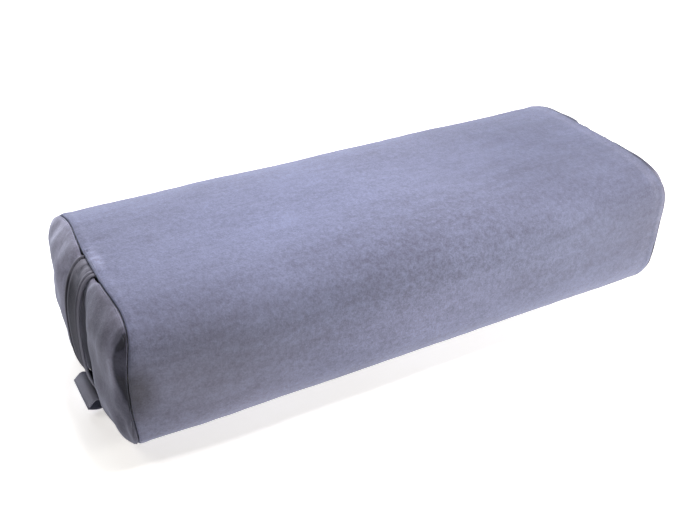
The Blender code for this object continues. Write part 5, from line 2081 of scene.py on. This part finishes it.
    def foam(self) -> None:
        """The slabs: the core's outline limited between two levels, with bells that ease the cut edges."""
        loop = self.core_loop()
        low, high = loop[:, 1].min(), loop[:, 1].max()
        pitch = (high - low) / len(self.slabs)
        right = np.flatnonzero(loop[:, 0] > 0)
        order = right[np.argsort(loop[right, 1])]
        x = spaced(self.slab_stations, self.crowd) * self.core_half
        for number, label in enumerate(self.slabs):
            floor = low + number * pitch + (self.slab_gap / 2 if number else 0.0)
            roof = low + (number + 1) * pitch - (self.slab_gap / 2 if label != self.slabs[-1] else 0.0)
            levels = np.linspace(floor, roof, self.slab_levels)
            wide = np.interp(levels, loop[order, 1], loop[order, 0])
            wide = wide - self.cut_ease * (hump(levels, floor, self.cut_width) + hump(levels, roof, self.cut_width))
            ring = np.concatenate([np.stack([wide, levels], 1), np.stack([-wide, levels], 1)[::-1]])
            rings = np.stack(np.broadcast_arrays(x[:, None], ring[:, 0], ring[:, 1]), -1)
            item = lay_mesh("foam_block_" + label, *capped(rings), FOAM)
            carried(item, "foam", "foam_slab_" + label)

    def build(self) -> None:
        """All of the insert's pieces."""
        self.sleeve(LINER, self.liner_half, self.liner_depth, self.wall, rows=90)
        self.sleeve(BATTING, self.core_half, self.batting_depth, self.batting_wall, rows=60)
        for grip in (LEFT_GRIP, RIGHT_GRIP):
            self.crowned_pad(LINER, grip)
            self.crowned_pad(BATTING, grip, self.batting_skin, self.core_half + self.pad_gap)
        self.foam()


# ---- studio ----


def stand(name: str, data: bpy.types.ID, place: Sequence[float], axes: Sequence[Array]) -> bpy.types.Object:
    """Put a camera or a light in the scene.

    Args:
        name: The object's name.
        data: The camera or light.
        place: Where it stands.
        axes: Which way its own X, Y and Z point.

    Returns:
        The object.
    """
    item = bpy.data.objects.new(name, data)
    bpy.context.scene.collection.objects.link(item)
    turn = Matrix([[*row] for row in np.stack(axes, axis=1)]).to_4x4()
    item.matrix_world = Matrix.Translation(place) @ turn
    return item


@dataclass(frozen=True)
class Viewpoint:
    """The camera, by where it stands and how it is turned."""

    place: tuple[float, float, float] = (-0.4468, -0.7291, 0.6221)
    yaw: float = math.radians(29.290)
    pitch: float = math.radians(33.504)
    roll: float = math.radians(1.172)
    focal_pixels: float = 910.1
    sensor: float = 36.0
    clip: tuple[float, float] = (0.05, 30.0)

    def build(self) -> bpy.types.Object:
        """Camera axes from yaw about Z, then pitch down, then roll about the line of sight.

        Returns:
            The camera.
        """
        cy, sy = math.cos(self.yaw), math.sin(self.yaw)
        cp, sp = math.cos(self.pitch), math.sin(self.pitch)
        ahead = np.array([sy * cp, cy * cp, -sp])
        right = np.array([cy, -sy, 0.0])
        up = np.cross(right, ahead)
        cr, sr = math.cos(self.roll), math.sin(self.roll)
        right, up = cr * right + sr * up, -sr * right + cr * up
        data = bpy.data.cameras.new("camera")
        data.sensor_width = self.sensor
        data.lens = self.focal_pixels * self.sensor / IMAGE_WIDTH
        data.clip_start, data.clip_end = self.clip
        item = stand("camera", data, self.place, (right, up, -ahead))
        bpy.context.scene.camera = item
        return item


@dataclass(frozen=True)
class Softbox:
    """One soft light: a square panel aimed at the bolster."""

    name: str
    place: tuple[float, float, float]
    aim: tuple[float, float, float]
    size: float
    power: float
    tint: tuple[float, float, float]

    def build(self) -> None:
        """Make the panel and turn it to its aim."""
        data = bpy.data.lights.new(self.name, "AREA")
        data.shape = "SQUARE"
        data.size = self.size
        data.energy = self.power
        data.color = self.tint
        start, end = np.array(self.place), np.array(self.aim)
        away = (start - end) / np.linalg.norm(start - end)
        side = np.cross([0.0, 0.0, 1.0], away)
        side = side / np.linalg.norm(side)
        stand(self.name, data, self.place, (side, np.cross(away, side), away))


@dataclass
class Studio:
    """A white floor, soft lights and an even surround."""

    floor_half: float = 6.0
    surround: Colour = paint(0.97, 0.98, 1.0)
    surround_light: float = 0.03
    surround_seen: float = 0.62
    lights: tuple[Softbox, ...] = (
        Softbox("front_light", (0.75, -0.75, 0.30), (0.25, -0.10, 0.08), 0.4, 9.6, (1.0, 0.975, 0.89)),
        Softbox("over_light", (0.09, 0.0, 1.10), (0.08, 0.0, 0.08), 0.5, 17.0, (1.0, 0.965, 0.955)),
        Softbox("back_light", (0.0, 1.835, 0.572), (0.0, 0.0, 0.08), 1.0, 41.0, (0.90, 0.935, 1.0)),
        Softbox("left_light", (-1.25, 0.95, 1.25), (-0.2, 0.0, 0.08), 0.9, 9.0, (1.0, 0.97, 0.95)),
    )

    def build(self) -> None:
        """Floor, lights, world and the view's own colour handling."""
        edge = self.floor_half
        corners = [(-edge, -edge, 0), (edge, -edge, 0), (edge, edge, 0), (-edge, edge, 0)]
        floor = lay_mesh("studio_floor", corners, [(0, 1, 2, 3)], GROUND)
        for light in self.lights:
            light.build()
        world = bpy.data.worlds.new("studio")
        graph = Graph(world, "Background")
        seen = graph.node("ShaderNodeLightPath", {}, {})["Is Camera Ray"]
        strength = seen * (self.surround_seen - self.surround_light) + self.surround_light
        graph.dress(Color=self.surround, Strength=strength)
        bpy.context.scene.world = world
        bpy.context.scene.view_settings.view_transform = "Standard"
        bpy.context.scene.view_settings.look = "None"


def main() -> None:
    """Build every piece in order, then the studio."""
    logging.basicConfig(level=logging.INFO, format="%(name)s %(message)s")
    wrap = Wrap(FORM)
    wrap.build()
    for part in (EndPanel, Handle):
        part(FORM, LEFT_GRIP, tab=True).build()
        part(FORM, RIGHT_GRIP, tab=False).build()
    Tab(FORM).build()
    ZipCloth(FORM).build(wrap)
    Insert(FORM).build()
    Viewpoint().build()
    Studio().build()


if __name__ == "__main__":
    main()
